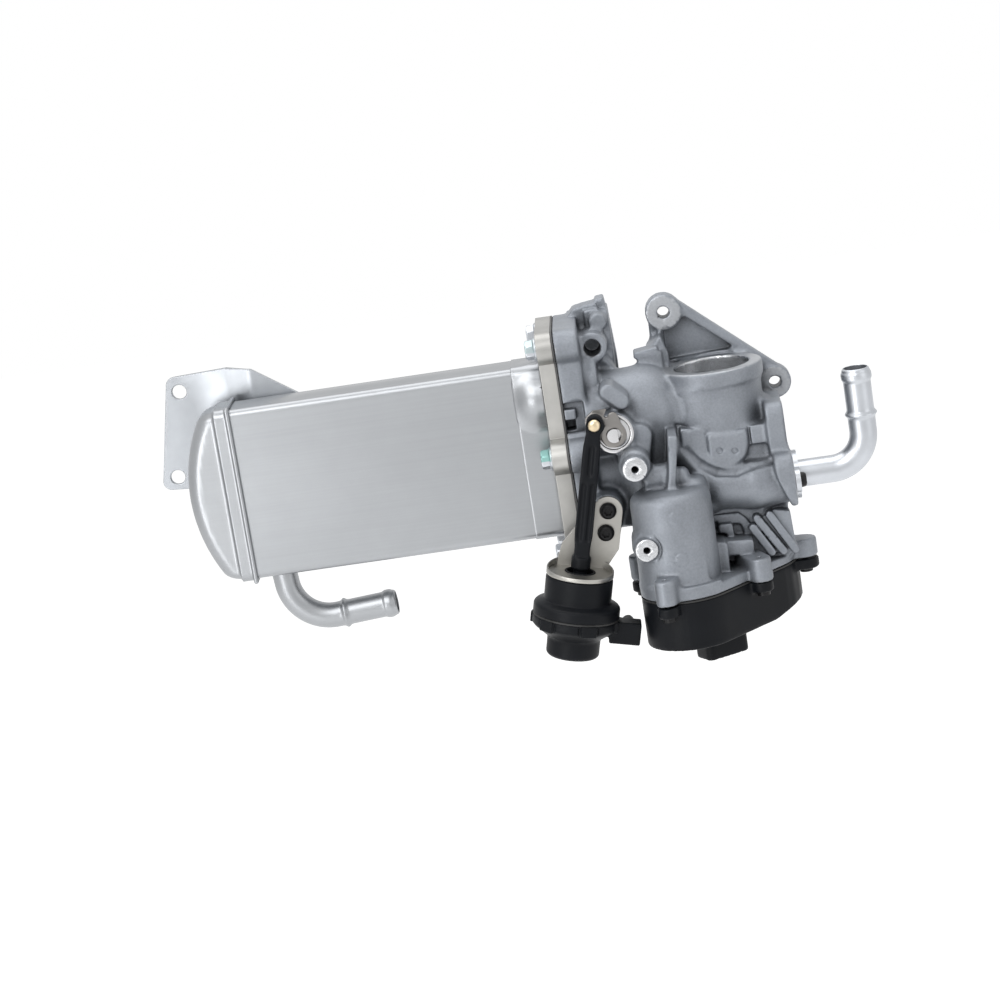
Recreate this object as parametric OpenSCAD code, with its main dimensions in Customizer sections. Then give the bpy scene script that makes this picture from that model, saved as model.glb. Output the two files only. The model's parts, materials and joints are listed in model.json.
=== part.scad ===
// EGR cooler with bypass flap and poppet valve module.
// Origin: centre of the top face of the round gas port. +X runs from the cooler to the coolant inlet,
// +Y away from the actuator side, +Z out of the gas port. Millimetres.

/* [Cooler] */
// Length of the casing from the cap seam to the header
cooler_len = 168; // [150:1:190]
// Height of the casing
cooler_h = 102; // [98:1:112]
// Thickness of the casing
cooler_t = 32; // [30:1:38]
// Sheet thickness of the casing, cap and header
sheet = 1.2; // [0.8:0.1:2]
// Length of the straight skirt of the end cap
cap_skirt = 10; // [8:0.5:14]
// Radius of the curved end of the cap
cap_r = 95; // [80:1:120]
// Thickness of the steel flange
flange_t = 9; // [7:0.5:12]
// Thickness of the flange gasket
gasket_t = 1; // [0.6:0.1:1.5]
// Flat gas tubes in each pass
tubes_per_pass = 4; // [3:1:4]
// Outside diameter of the coolant outlet pipe
out_pipe_d = 15; // [13:0.5:17]
// Diameter of the two holes of the mounting bracket
bracket_hole_d = 8.5; // [6.5:0.1:9]
// Sheet thickness of the mounting bracket
bracket_t = 3; // [2:0.5:4]

/* [Housing] */
// Bore of the round gas port
port_d = 43.2; // [41:0.2:45]
// Outside diameter of the lip round the gas port
port_lip_d = 59; // [56:1:62]
// Hole diameter of the two mounting lugs
lug_hole_d = 7; // [5.5:0.1:9]
// Thickness of the flange block against the gasket
block_t = 14; // [12:1:16]
// Bore of the gas inlet
inlet_d = 24; // [20:1:26]
// Diameter of the motor tower at its foot
motor_d = 44; // [40:0.5:50]
// Hole diameter of the tapped bosses
tap_d = 4.2; // [3.3:0.1:5]

/* [Bypass flap] */
// Diameter of the flap shaft
shaft_d = 8; // [7:0.5:9]
// Distance from the flap shaft to the ball pin
lever_r = 13.7; // [12:0.1:15]
// Diameter of the flap disc
flap_d = 25.4; // [23:0.2:25.6]
// Length of the actuator rod from the bracket to the ball pin
rod_len = 88.5; // [85:0.5:92]
// Lean of the actuator against the port axis
act_tilt = 13.6; // [12:0.2:15]
// Diameter of the crimped ring of the actuator
act_ring_d = 50; // [48:1:54]

/* [Poppet valve and drive] */
// Diameter of the poppet stem
stem_d = 6; // [5:0.5:6.5]
// Lift of the poppet
lift = 8; // [6:0.5:9]
// Turn of the drive gear over the lift, degrees
drive_turn = 60; // [45:1:65]
// Gear module
gear_m = 1; // [0.92:0.01:1.08]
// Depth of the gear cover
cover_depth = 28; // [28:0.5:32]
// Wall of the gear cover
cover_wall = 2.5; // [2:0.1:2.8]

/* [Coolant inlet] */
// Outside diameter of the coolant inlet pipe
in_pipe_d = 16; // [14:0.5:16.4]
// Bend radius of the coolant inlet pipe
in_bend_r = 20; // [18:1:26]
// Thickness of the pipe plate
plate_t = 3; // [2:0.5:4]

/* [Hidden] */
$fn = 48;

STEEL = [0.74, 0.74, 0.73];
CAST = [0.68, 0.69, 0.7];
DARK = [0.16, 0.16, 0.17];
BLACK = [0.07, 0.07, 0.075];
BRASS = [0.78, 0.62, 0.3];
RUBBER = [0.1, 0.1, 0.1];

// Small gap of parts that are assembled together
fit = 0.05;
// Running gap of parts that turn
run = 0.25;

// Planes across the cooler, from the housing towards the cap
joint_x = -88;
plate_x = joint_x - gasket_t;
head_x1 = plate_x - flange_t;
head_x0 = head_x1 - 14;
seam_x = head_x0 - cooler_len;
cooler_z = -34.5;
cooler_top = cooler_z + cooler_h / 2;
tube_wall = 0.6;
tube_h = 6;
tube_w = cooler_t - 7;
cap_x0 = seam_x - cap_skirt - 22.5;
out_pipe_x = seam_x + 13.5;
out_z = cooler_z - cooler_h / 2;
out_bend_r = 25;
out_drop = 8.5;
out_lean = 4;
out_run = 36;

// Ports of the flange joint, [y, z]
gas_hi = [0, -1];
gas_hi_r = 17;
cool_r = 5.5;
feed_wall = 1;
cool_p = [-4, out_z + sheet + feed_wall + cool_r + 1.2];
gas_lo_r = 15.5;
gas_lo = [0, cool_p[1] + cool_r + 3.5 + gas_lo_r];
bolts = [[-25, cooler_top + 11.2], [25, cooler_top + 11.2], [-32.5, -35.3], [32.5, -35.3], [-22, out_z - 8.5],
    [22, out_z - 8.5]];
bolt_r = 3.9;

// Flat tubes: the two passes fill the height above the coolant feed, with the divider between them
tube_top = cooler_top - 7.5;
tube_low = cool_p[1] + cool_r + feed_wall + 3.1 + tube_h / 2;
pass_gap = 3;
tube_pitch = (tube_top - tube_low - pass_gap) / (2 * tubes_per_pass - 1);
divider_z = tube_top - (tubes_per_pass - 0.5) * tube_pitch - pass_gap / 2;

// Flap shaft, ball pin and actuator frame
flap_x = -60.8;
flap_z = -24.1;
flap_y = -3;
pin_a = 138.5;
pin_x = flap_x + lever_r * cos(pin_a);
pin_z = flap_z + lever_r * sin(pin_a);
act_y = -50.5;
act_x = pin_x - rod_len * sin(act_tilt);
act_z = pin_z - rod_len * cos(act_tilt);
act_r = act_ring_d / 2;
bracket_y = -38;
pads = [[13, 23], [13, 36]];
bush_y = -41;
inlet_c = [-71, 8];
inlet_y = 53;
inlet_b = inlet_d / 2 + 9;
lever_y0 = -46;
lever_y1 = -43.5;

// Valve and drive
deck_z = -120;
deck_t = 8;
cover_top = deck_z - 1;
cover_z = cover_top - cover_depth;
motor_c = [-32, -45];
valve_c = [0, 0];
pin_n = 12;
big_n = 40;
small_n = 12;
out_n = 60;
cd_1 = gear_m * (pin_n + big_n) / 2;
cd_2 = gear_m * (small_n + out_n) / 2;
mo = norm(motor_c);
mo_a = atan2(-motor_c[1], -motor_c[0]);
idler_u = (cd_1 * cd_1 - cd_2 * cd_2 + mo * mo) / (2 * mo);
idler_v = sqrt(cd_1 * cd_1 - idler_u * idler_u);
idler_c = motor_c + idler_u * [cos(mo_a), sin(mo_a)] + idler_v * [-sin(mo_a), cos(mo_a)];
a_mi = atan2(idler_c[1] - motor_c[1], idler_c[0] - motor_c[0]);
a_oi = atan2(idler_c[1], idler_c[0]);
motor_r = motor_d / 2;
motor_bore = motor_r - 3.8;
stem_r = stem_d / 2;
cross_r = 1.5;
hub_r = 8;
sleeve_r = 11.2;
drive_z0 = cover_z + cover_wall + 0.5;
drive_z1 = drive_z0 + 3.6;
cross_z = drive_z1 + 5.4;
sleeve_z = drive_z1 + 1.4;
big_z = drive_z1 + 7.4;
cover_rm = motor_r + 5;
cover_ri = gear_m * big_n / 2 + 5.5;
cover_rv = gear_m * out_n / 2 + 5;
// Room between the cover's wall and a cover screw's axis: head radius and a clearance
screw_head_r = 3.8;
lug_out = screw_head_r + 0.3;
ear_c = valve_c + (cover_rv + lug_out) * [cos(-9), sin(-9)];
deck_lugs = [
    motor_c + (cover_rm + lug_out) * [cos(246.4), sin(246.4)],
    beside(motor_c, cover_rm, valve_c, cover_rv, 0.544, lug_out),
    ear_c,
    valve_c + (cover_rv + lug_out) * [cos(53.4), sin(53.4)],
    idler_c + (cover_ri + lug_out) * [cos(155.9), sin(155.9)]];
plug_c = [-17, -46];
plug_a = 30;

// Coolant inlet
in_y = -16;
in_z = -68.5;
face_x = 38;
in_r = in_pipe_d / 2;
in_x1 = 81;
in_end_z = -11.3;
pipe_tabs = [[-32, -68.5], [0, -68.5]];

function arc(c, r, a0, a1, n) = [for (i = [0 : n]) c + r * [cos(a0 + (a1 - a0) * i / n), sin(a0 + (a1 - a0) * i / n)]];

// Outline round two circles and their outer tangents
function capsule(c1, r1, c2, r2, n = 16) =
    let (d = c2 - c1, phi = atan2(d[1], d[0]), b = asin((r1 - r2) / norm(d)))
    concat(arc(c2, r2, phi - 90 + b, phi + 90 - b, n), arc(c1, r1, phi + 90 - b, phi + 270 + b, n));

// Point beside the right-hand tangent of two circles, a share t along it
function beside(c1, r1, c2, r2, t, out) =
    let (d = c2 - c1, a = atan2(d[1], d[0]) - acos((r1 - r2) / norm(d)))
    c1 + t * d + (r1 + t * (r2 - r1) + out) * [cos(a), sin(a)];

function rounded(w, h, r, n = 6) = concat(
    arc([w / 2 - r, h / 2 - r], r, 0, 90, n),
    arc([r - w / 2, h / 2 - r], r, 90, 180, n),
    arc([r - w / 2, r - h / 2], r, 180, 270, n),
    arc([w / 2 - r, r - h / 2], r, 270, 360, n));

// Involute tooth: half angle of the tooth at a radius
function inv_a(rb, r) = let (a = acos(min(1, rb / r))) tan(a) * 180 / PI - a;
function half_tooth(n, r) = let (rp = gear_m * n / 2, rb = rp * cos(20))
    90 / n - 0.15 / rp * 180 / PI + inv_a(rb, rp) - inv_a(rb, max(r, rb));
function polar(r, a) = [r * cos(a), r * sin(a)];
function tooth(n, a) = let (rp = gear_m * n / 2, rf = rp - 1.25 * gear_m, ra = rp + 0.8 * gear_m,
    rs = [rf, rp - 0.35 * gear_m, rp + 0.25 * gear_m, ra])
    concat([for (r = rs) polar(r, a - half_tooth(n, r))],
        [for (i = [3 : -1 : 0]) polar(rs[i], a + half_tooth(n, rs[i]))]);
function gear(n, a0) = [for (k = [0 : n - 1]) each tooth(n, a0 + k * 360 / n)];

// Extrusions of a flat outline: [y, z] along X, [x, z] along Y
module slab_x(x0, x1) { translate([x0, 0, 0]) rotate([90, 0, 90]) linear_extrude(x1 - x0) children(); }
module slab_y(y0, y1) { translate([0, y1, 0]) rotate([90, 0, 0]) linear_extrude(y1 - y0) children(); }
module slab_z(z0, z1) { translate([0, 0, z0]) linear_extrude(z1 - z0) children(); }
module bar_x(x0, x1, y, z, r) { translate([x0, y, z]) rotate([0, 90, 0]) cylinder(h = x1 - x0, r = r); }
module bar_y(x, z, y0, y1, r) { translate([x, y0, z]) rotate([-90, 0, 0]) cylinder(h = y1 - y0, r = r); }
module bar_z(x, y, z0, z1, r) { translate([x, y, z0]) cylinder(h = z1 - z0, r = r); }
module bar(p, q, r) {
    d = q - p;
    translate(p) rotate([0, acos(d[2] / norm(d)), atan2(d[1], d[0])]) cylinder(h = norm(d), r = r);
}
module box(x0, x1, y0, y1, z0, z1) { translate([x0, y0, z0]) cube([x1 - x0, y1 - y0, z1 - z0]); }
module act_frame() { translate([act_x, act_y, act_z]) rotate([0, act_tilt, 0]) children(); }

// Round wire of radius w wound with radius r along Z: helix formula, one ring of points at a time
module coil(r, w, h, turns) {
    n = ceil(turns * 16);
    m = 6;
    pts = [for (i = [0 : n]) for (j = [0 : m - 1]) let (a = 360 * turns * i / n, q = r + w * cos(j * 360 / m))
        [q * cos(a), q * sin(a), h * i / n + w * sin(j * 360 / m)]];
    sides = [for (i = [0 : n - 1]) for (j = [0 : m - 1]) let (k = (j + 1) % m)
        [i * m + j, i * m + m + j, i * m + m + k, i * m + k]];
    ends = [[for (j = [0 : m - 1]) j], [for (j = [m - 1 : -1 : 0]) n * m + j]];
    polyhedron(points = pts, faces = concat(sides, ends), convexity = 10);
}

// Cross section of the cooler, grown by g
module section(g) { translate([0, cooler_z]) polygon(rounded(cooler_t + 2 * g, cooler_h + 2 * g, 4 + g)); }

module cooler_casing() {
    color(STEEL)
    difference() {
        slab_x(seam_x - 4, head_x0) section(0);
        slab_x(seam_x - 5, head_x0 + 1) section(-sheet);
        out_frame() bar_z(0, 0, -5, 5, out_pipe_d / 2 + fit);
    }
}

module cap_disc(r, t, e) {
    translate([cap_x0 + cap_r, 0, cooler_z])
    rotate([90, 0, 0])
    rotate_extrude($fn = 96)
    polygon(concat([[0, t / 2], [0, -t / 2]], arc([r - e, e - t / 2], e, -90, 0, 5),
        arc([r - e, t / 2 - e], e, 0, 90, 5)));
}

module end_cap() {
    color(STEEL)
    difference() {
        union() {
            slab_x(seam_x - cap_skirt, seam_x) section(0.9);
            slab_x(seam_x - 2, seam_x) section(1.9);
            intersection() {
                cap_disc(cap_r, cooler_t - 0.6, 6);
                slab_x(cap_x0 - 5, seam_x - cap_skirt + 1) section(-0.9);
            }
        }
        slab_x(seam_x - 4.2, seam_x + 1) section(fit);
        intersection() {
            cap_disc(cap_r - sheet, cooler_t - 0.6 - 2 * sheet, 5);
            slab_x(cap_x0 - 5, seam_x - 2) section(-0.9 - sheet);
        }
    }
}

module bulge(g, x1) {
    translate([0, -6, -3])
    rotate([0, 90, 0])
    rotate_extrude()
    polygon([[0, head_x0 - 5 - g], [8 + g, head_x0 - 5 - g], [13 + g, head_x0 - 3], [16.2 + g, head_x0 + 0.5],
        [17.6 + g, head_x0 + 5], [18 + g, x1], [0, x1]]);
}

module gas_header() {
    color(STEEL)
    difference() {
        union() {
            slab_x(head_x0, head_x1) section(0.4);
            intersection() {
                bulge(0, head_x1);
                box(head_x0, head_x1, -40, 40, -60, 40);
            }
        }
        slab_x(head_x0 - 1, head_x1 + 1) section(-sheet);
        intersection() {
            bulge(-sheet, head_x1 + 1);
            box(head_x0 + sheet, head_x1 + 2, -40, 40, -60, 40);
        }
    }
}

// Outline of the flange joint in [y, z]
module joint_outline() {
    polygon(capsule(bolts[0], 9.5, bolts[1], 9.5));
    polygon(capsule(bolts[2], 10, bolts[3], 10));
    polygon(capsule(bolts[4], 9.5, bolts[5], 9.5));
    translate([-27, bolts[4][1]]) square([54, bolts[0][1] - bolts[4][1]]);
}

module joint_ports(x0, x1, grow) {
    bar_x(x0, x1, gas_hi[0], gas_hi[1], gas_hi_r + grow);
    bar_x(x0, x1, gas_lo[0], gas_lo[1], gas_lo_r + grow);
    bar_x(x0, x1, cool_p[0], cool_p[1], cool_r + grow);
}

module joint_bolt_holes(x0, x1, r) { for (p = bolts) bar_x(x0, x1, p[0], p[1], r); }

module cooler_flange() {
    color(STEEL)
    difference() {
        slab_x(head_x1, plate_x) joint_outline();
        bar_x(head_x1 - 1, plate_x + 1, gas_hi[0], gas_hi[1], gas_hi_r);
        bar_x(head_x1 - 1, plate_x + 1, gas_lo[0], gas_lo[1], gas_lo_r);
        bar_x(head_x1 - 1, plate_x + 1, cool_p[0], cool_p[1], cool_r + feed_wall + fit);
        joint_bolt_holes(head_x1 - 1, plate_x + 1, 4.5);
    }
}

module cooler_gasket() {
    color(DARK)
    difference() {
        slab_x(plate_x, joint_x) joint_outline();
        joint_ports(plate_x - 1, joint_x + 1, 0.5);
        joint_bolt_holes(plate_x - 1, joint_x + 1, 4.5);
    }
}

module flange_bolts() {
    color(STEEL)
    for (p = bolts) {
        bar_x(head_x1 - 1.6, head_x1, p[0], p[1], 6.8);
        translate([head_x1 - 6.5, p[0], p[1]]) rotate([0, 90, 0]) cylinder(h = 5, r = 5.6, $fn = 6);
        bar_x(head_x1 - 0.5, joint_x + block_t - 1, p[0], p[1], bolt_r);
    }
}

// Heights of the flat tubes of both passes
tube_z = concat([for (i = [0 : tubes_per_pass - 1]) tube_top - i * tube_pitch],
    [for (i = [0 : tubes_per_pass - 1]) tube_low + i * tube_pitch]);

module tube_outline(g) { polygon(rounded(tube_w + 2 * g, tube_h + 2 * g, tube_h / 2 + g - 0.02)); }

module tube_plate(x0) {
    color(STEEL)
    difference() {
        slab_x(x0, x0 + 1.5) section(-sheet - fit);
        for (z = tube_z) slab_x(x0 - 1, x0 + 3) translate([0, z]) tube_outline(fit);
        children();
    }
}

module tube_plate_left() { tube_plate(seam_x - 3); }

module tube_plate_right() { tube_plate(head_x0 - 2) bar_x(head_x0 - 3, head_x0 + 1, cool_p[0], cool_p[1], cool_r + feed_wall + fit); }

module gas_tubes() {
    color(STEEL)
    for (z = tube_z)
    difference() {
        slab_x(seam_x - 4, head_x0) translate([0, z]) tube_outline(0);
        slab_x(seam_x - 5, head_x0 + 1) translate([0, z]) tube_outline(-tube_wall);
    }
}

module pass_divider() {
    color(STEEL)
    box(head_x0 + 0.6, head_x1 - fit, sheet + fit - cooler_t / 2, cooler_t / 2 - sheet - fit, divider_z - 0.75, divider_z + 0.75);
}

module coolant_baffle() {
    color(STEEL)
    box(seam_x + 34, head_x0 - 3, sheet + fit - cooler_t / 2, cooler_t / 2 - sheet - fit, divider_z - 0.5, divider_z + 0.5);
}

module coolant_feed_tube() {
    color(STEEL)
    difference() {
        bar_x(head_x0 - 3, plate_x - 0.1, cool_p[0], cool_p[1], cool_r + feed_wall);
        bar_x(head_x0 - 4, plate_x + 1, cool_p[0], cool_p[1], cool_r);
    }
}

// Straight hose end of a pipe along Z from 0 to h: bead and rounded flare, wall 1
module hose_end(r, h, bead) {
    rotate_extrude()
    polygon([[r - 1, 0], [r, 0], [r, bead - 2.2], [r + 1.3, bead - 1], [r + 1.3, bead + 1], [r, bead + 2.2],
        [r, h - 9], [r + 0.9, h - 6], [r + 0.9, h - 3.5], [r - 0.3, h - 0.4], [r - 0.7, h], [r - 1, h]]);
}

// Frame of the outlet pipe at its hole in the casing, leaning a little
module out_frame() { translate([out_pipe_x, 0, out_z]) rotate([0, -out_lean, 0]) children(); }

module coolant_outlet_pipe() {
    r = out_pipe_d / 2;
    color(STEEL) {
        difference() {
            union() {
                out_frame() bar_z(0, 0, -out_drop, 3, r);
                out_frame()
                translate([out_bend_r, 0, -out_drop])
                rotate([90, 0, 0])
                rotate([0, 0, 180])
                rotate_extrude(angle = 90)
                translate([out_bend_r, 0]) circle(r);
                translate([out_pipe_x, 0, out_z - 4.6])
                rotate_extrude()
                polygon([[0, 0], [r + 0.9, 0], [r + 2.6, 3.4], [r + 2.6, 4.6], [0, 4.6]]);
            }
            out_frame() bar_z(0, 0, -out_drop - 0.01, 4, r - 1);
            out_frame()
            translate([out_bend_r, 0, -out_drop])
            rotate([90, 0, 0])
            rotate([0, 0, 180])
            rotate_extrude(angle = 90)
            translate([out_bend_r, 0]) circle(r - 1);
        }
        out_frame()
        translate([out_bend_r, 0, -out_drop - out_bend_r])
        rotate([0, 90, 0])
        hose_end(r, out_run, 5);
    }
}

bracket_holes = [[-313.0, 24.7], [-322.8, -26.1]];

module mounting_bracket() {
    y0 = cooler_t / 2;
    b = seam_x + 280;
    color(STEEL)
    difference() {
        intersection() {
            slab_z(-60, 50)
            polygon([[b - 340, y0 + 8], [b - 284, y0 + 8], [b - 271, y0 + 2 + fit], [b - 220, y0 + 2 + fit],
                [b - 220, y0 + 2 + fit + bracket_t], [b - 270, y0 + 2 + fit + bracket_t],
                [b - 283, y0 + 8 + bracket_t], [b - 340, y0 + 8 + bracket_t]]);
            slab_y(0, 60)
            polygon(concat(arc([b - 315, 28.5], 5.5, 180, 94, 5), [[b - 283, 35], [b - 268, 33], [b - 238, 12],
                [b - 238, -50], [b - 283, -50], [b - 296, -36]], arc([b - 327.3, -28.4], 5, 270, 180, 5)));
        }
        for (p = bracket_holes) bar_y(b + p[0], p[1], 0, 60, bracket_hole_d / 2);
    }
    color(STEEL)
    box(b - 262, b - 244, y0 + fit, y0 + 2 + fit, -44, 8);
}

// Flat outline of the gear deck, grown by g: the motor, the valve and the idler
module deck_outline(g) {
    rm = cover_rm + g;
    ri = cover_ri + g;
    rv = cover_rv + g;
    polygon(capsule(motor_c, rm, valve_c, rv));
    polygon(capsule(motor_c, rm, idler_c, ri));
    polygon(capsule(idler_c, ri, valve_c, rv));
}

module lug_outline(i, r) {
    c = deck_lugs[i];
    polygon(capsule(c, r, c * 0.72 + 0.28 * (i == 0 ? motor_c : valve_c), r));
}

module housing_body() {
    slab_x(joint_x, joint_x + block_t) joint_outline();
    // Gas passage from the flange, turned down towards the motor side
    bar_x(joint_x + 3, -43, -4, -20, 25.6);
    translate([-43, -4, -20]) sphere(26.2, $fn = 64);
    bar_z(-43, -4, -84, -20, 25.1);
    bar_x(joint_x + 3, -45, gas_lo[0], gas_lo[1], gas_lo_r + 6);
    bar_x(joint_x + 3, -66, gas_hi[0], gas_hi[1], gas_hi_r + 4.5);
    bar_x(joint_x + 3, -20, cool_p[0], cool_p[1], cool_r + 6);
    bar([-43, -1, gas_lo[1]], [0, 0, -35], 16.6);
    // Gas inlet branch at the rear
    bar_y(inlet_c[0], inlet_c[1], 8, inlet_y - 4, inlet_d / 2 + 4);
    bar([-70, 0, 0], [-71, 24, 8], 15.3);
    slab_y(inlet_y - 8, inlet_y) translate(inlet_c) {
        polygon(capsule([0, -inlet_b], 7.5, [0, inlet_b], 7.5));
        circle(inlet_d / 2 + 5);
    }
    slab_x(-62, -55) translate([24, 17]) polygon(rounded(32, 44, 6));
    slab_x(-80, -61) polygon([[8, 26], [14, 33], [30, 37], [44, 36], [46, 10], [20, 6]]);
    bar_y(-66.6, 21.4, -12, 14, 8.8);
    bar_y(-61.5, 34, -2, 14, 5.2);
    // Port tower and neck
    rotate_extrude()
    polygon([[0, 0], [port_lip_d / 2 - 0.8, 0], [port_lip_d / 2, -0.8], [port_lip_d / 2, -8.6], [27.4, -10.6],
        [27.2, -37.5], [24.5, -41], [22.5, -46], [22, -74], [0, -74]]);
    bar_z(0, 0, -116, -40, 13.3);
    slab_y(-26, 2) polygon([[-9, -36], [13, -36], [13, -51], [7, -57.6], [-4, -57.6], [-9, -52]]);
    box(10, 29, -25.5, -6, -45.5, -34.5);
    // Coolant branch and its face
    bar([-21, -15, -50], [-10, -17.5, -72], 13);
    translate([-10, -17.5, -73]) sphere(14.3);
    bar([-10, -17.5, -73], [10, -17, -75], 13.7);
    translate([10, -17, -75]) sphere(14.2);
    bar([10, -17, -75], [30, in_y, in_z], 13.7);
    slab_x(27, face_x)
    translate([-16, -67.4]) polygon(rounded(48, 32, 9));
    slab_x(26, face_x - 1.4)
    translate([-5, -44]) polygon(rounded(46, 42, 8));
    // Body above the gear deck
    box(-24, 32.5, -17, 21, -116, -62);
    slab_z(-116, -74) polygon([[-54, -34], [-12, -52], [8, -30], [20, -10], [-10, 20], [-56, 12]]);
    slab_z(deck_z, deck_z + deck_t) deck_outline(0);
    for (i = [0 : 4]) slab_z(deck_z, deck_z + (i == 2 ? 11 : 15)) lug_outline(i, i == 2 ? 8 : 6.2);
    // Motor tower
    translate([motor_c[0], motor_c[1], 0])
    rotate_extrude()
    polygon([[0, -60], [motor_r - 9, -60], [motor_r - 4.5, -61.8], [motor_r - 2, -65], [motor_r - 1.4, -70],
        [motor_r, deck_z + 3], [0, deck_z + 3]]);
    bar_x(-48, -27, -38, -54, 8.2);
    translate([-27, -38, -54]) sphere(8.6);
    // Lugs with their web behind the port
    bar_y(-23.2, 30.3, 20, 32, 10.4);
    bar_y(36, -20.3, 20, 32, 9.6);
    slab_y(21.6, 31) polygon(capsule([-23.2, 30.3], 8.4, [36, -20.3], 7.8));
    slab_y(22, 29.5) polygon([[-32.6, 27], [-25.4, 27], [-25.4, 0], [-33.4, 0]]);
    slab_y(25.6, 30)
    polygon([[-23, 30], [36, -20], [33, -40], [0, -46], [-32, -20], [-34, 14]]);
    slab_y(8, 29) polygon([[-36, 12], [-27, 19], [-23.6, 8], [-23.6, -6], [-18, -12], [-18, -30], [-36, -26]]);
    box(-42, -27.5, 0, 16, -8, 11.5);
    box(6, 31, 10, 29, -62, -26);
    // Flap bearing boss, stop and rib
    bar_y(flap_x, flap_z, bush_y, -10, 12);
    translate([-58.4, -38, -4]) rotate([0, 45, 0]) translate([-5.5, 0, -5]) cube([11, 22, 10]);
    slab_y(-39, -14) polygon(capsule([-47, -29], 7.5, [-51, -44], 8));
    // Tapped bosses
    bar_y(-51.8, -42.1, -62, -20, 7.4);
    bar_y(-51.8, -42.1, -52, -20, 9.2);
    bar_y(-51.7, -88.7, -66, -30, 6.6);
    bar_y(-51.7, -88.7, -58, -30, 8.2);
    // Slanted fin over the motor tower and thin ribs
    slab_y(-50, -12) polygon([[-37.6, -66], [-32, -66], [-22.4, -34], [-27.6, -32]]);
    slab_y(-29, -10) polygon([[7, -92], [10.5, -90.5], [26, -112], [22, -114]]);
    slab_y(-24, -6) polygon([[14, -88], [17.5, -86.5], [34, -112], [30, -114]]);
    // Pad of the actuator bracket
    act_frame()
    translate([0, bracket_y + 2 - act_y, 0])
    translate([0, 30, 0]) rotate([90, 0, 0]) linear_extrude(30) polygon(capsule(pads[0], 8.6, pads[1], 9.4));
}

module housing_cuts() {
    // Gas: cooler outlet and inlet, flap passage, valve chamber, port
    bar_x(joint_x - 1, -73, gas_hi[0], gas_hi[1], gas_hi_r);
    bar_x(-75, -46, -2, -12, 11.6);
    bar_x(joint_x - 1, -43, gas_lo[0], gas_lo[1], gas_lo_r);
    bar_z(flap_x, flap_y, gas_lo[1] + 6, -14, flap_d / 2 + 0.3);
    bar([-44, 0, gas_lo[1] + 0.5], [0, 0, -36], 12);
    bar_z(0, 0, -46, -25, 15.4);
    bar_z(0, 0, -26, -9, 19.5);
    bar_z(0, 0, -10, 1, port_d / 2);
    bar_y(inlet_c[0], inlet_c[1], inlet_y - 33, inlet_y + 1, inlet_d / 2);
    bar([-70, 2, 1], [-71, 23, 8], 9.8);
    // Stem, guide, seal and drive
    bar_z(0, 0, -62, -45, 6);
    bar_z(0, 0, deck_z - 1, -61, stem_r + 0.8);
    bar_z(0, 0, deck_z - 1, -104, 7.5);
    bar_z(0, 0, deck_z - 1, -112, sleeve_r);
    bar_z(motor_c[0], motor_c[1], deck_z - 1, -65, motor_bore);
    bar_z(idler_c[0], idler_c[1], deck_z - 1, deck_z + 6, 2.5);
    for (p = deck_lugs) bar_z(p[0], p[1], deck_z - 1, deck_z + 9, 1.8 + fit);
    // Coolant
    bar_x(-30, face_x + 1, in_y, in_z, 6.4);
    bar_x(face_x - 7, face_x + 1, in_y, in_z, in_r + 0.1);
    bar_x(face_x - 2.1, face_x + 1, in_y, in_z, in_r + 2.6);
    bar_x(joint_x - 1, -24, cool_p[0], cool_p[1], cool_r);
    bar([-28, in_y, in_z], [-28, cool_p[0], cool_p[1]], 5.8);
    for (p = pipe_tabs) bar_x(face_x - 10, face_x + 1, p[0], p[1], 2.5);
    // Flap bearing
    bar_y(flap_x, flap_z, bush_y - 1, -38.4, 10);
    bar_y(flap_x, flap_z, bush_y - 1, -20, 7);
    bar_y(flap_x, flap_z, -21, 18, shaft_d / 2 + run);
    // Mounting and tapped holes
    joint_bolt_holes(joint_x - 1, joint_x + block_t + 4, bolt_r + 0.1);
    bar_y(-23.2, 30.3, 15, 40, lug_hole_d / 2);
    bar_y(36, -20.3, 15, 40, lug_hole_d / 2);
    bar_y(-66.6, 21.4, -13, 4, 4.7);
    bar_y(-51.8, -42.1, -63, -46, tap_d / 2);
    bar_y(-51.7, -88.7, -67, -52, tap_d / 2);
    for (s = [-1, 1]) bar_y(inlet_c[0], inlet_c[1] + s * inlet_b, inlet_y - 8.5, inlet_y + 1, 2.6);
    slab_y(20, 27.6) polygon([[-13.4, 22.6], [12, 2], [-25, 2], [-25, 17], [-20, 19.6]]);
    act_frame()
    for (p = pads) translate([p[0], bracket_y - act_y - 1, p[1]]) rotate([-90, 0, 0]) cylinder(h = 16, r = 2.5);
}

module valve_housing() {
    color(CAST)
    difference() {
        housing_body();
        housing_cuts();
    }
}

module flap_bushing() {
    color(BRASS)
    difference() {
        bar_y(flap_x, flap_z, -37.5, -21, 7 - fit);
        bar_y(flap_x, flap_z, -40, -20, shaft_d / 2 + run);
    }
}

module flap_seal() {
    color(RUBBER)
    difference() {
        bar_y(flap_x, flap_z, -40.4, -38.5, 9.8);
        bar_y(flap_x, flap_z, -42, -36, shaft_d / 2 + 0.3);
    }
}

module flap_shaft() {
    color(STEEL)
    difference() {
        bar_y(flap_x, flap_z, -48, 17, shaft_d / 2);
        box(flap_x + 2.2, flap_x + 9, -49, -42.5, flap_z - 9, flap_z + 9);
        box(flap_x - 20, flap_x + 20, flap_y - flap_d / 2 - 1, flap_y + flap_d / 2 + 1, flap_z - 1.05, flap_z + 1.05);
    }
}

module flap_plate() { color(STEEL) bar_z(flap_x, flap_y, flap_z - 1, flap_z + 1, flap_d / 2); }

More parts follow.
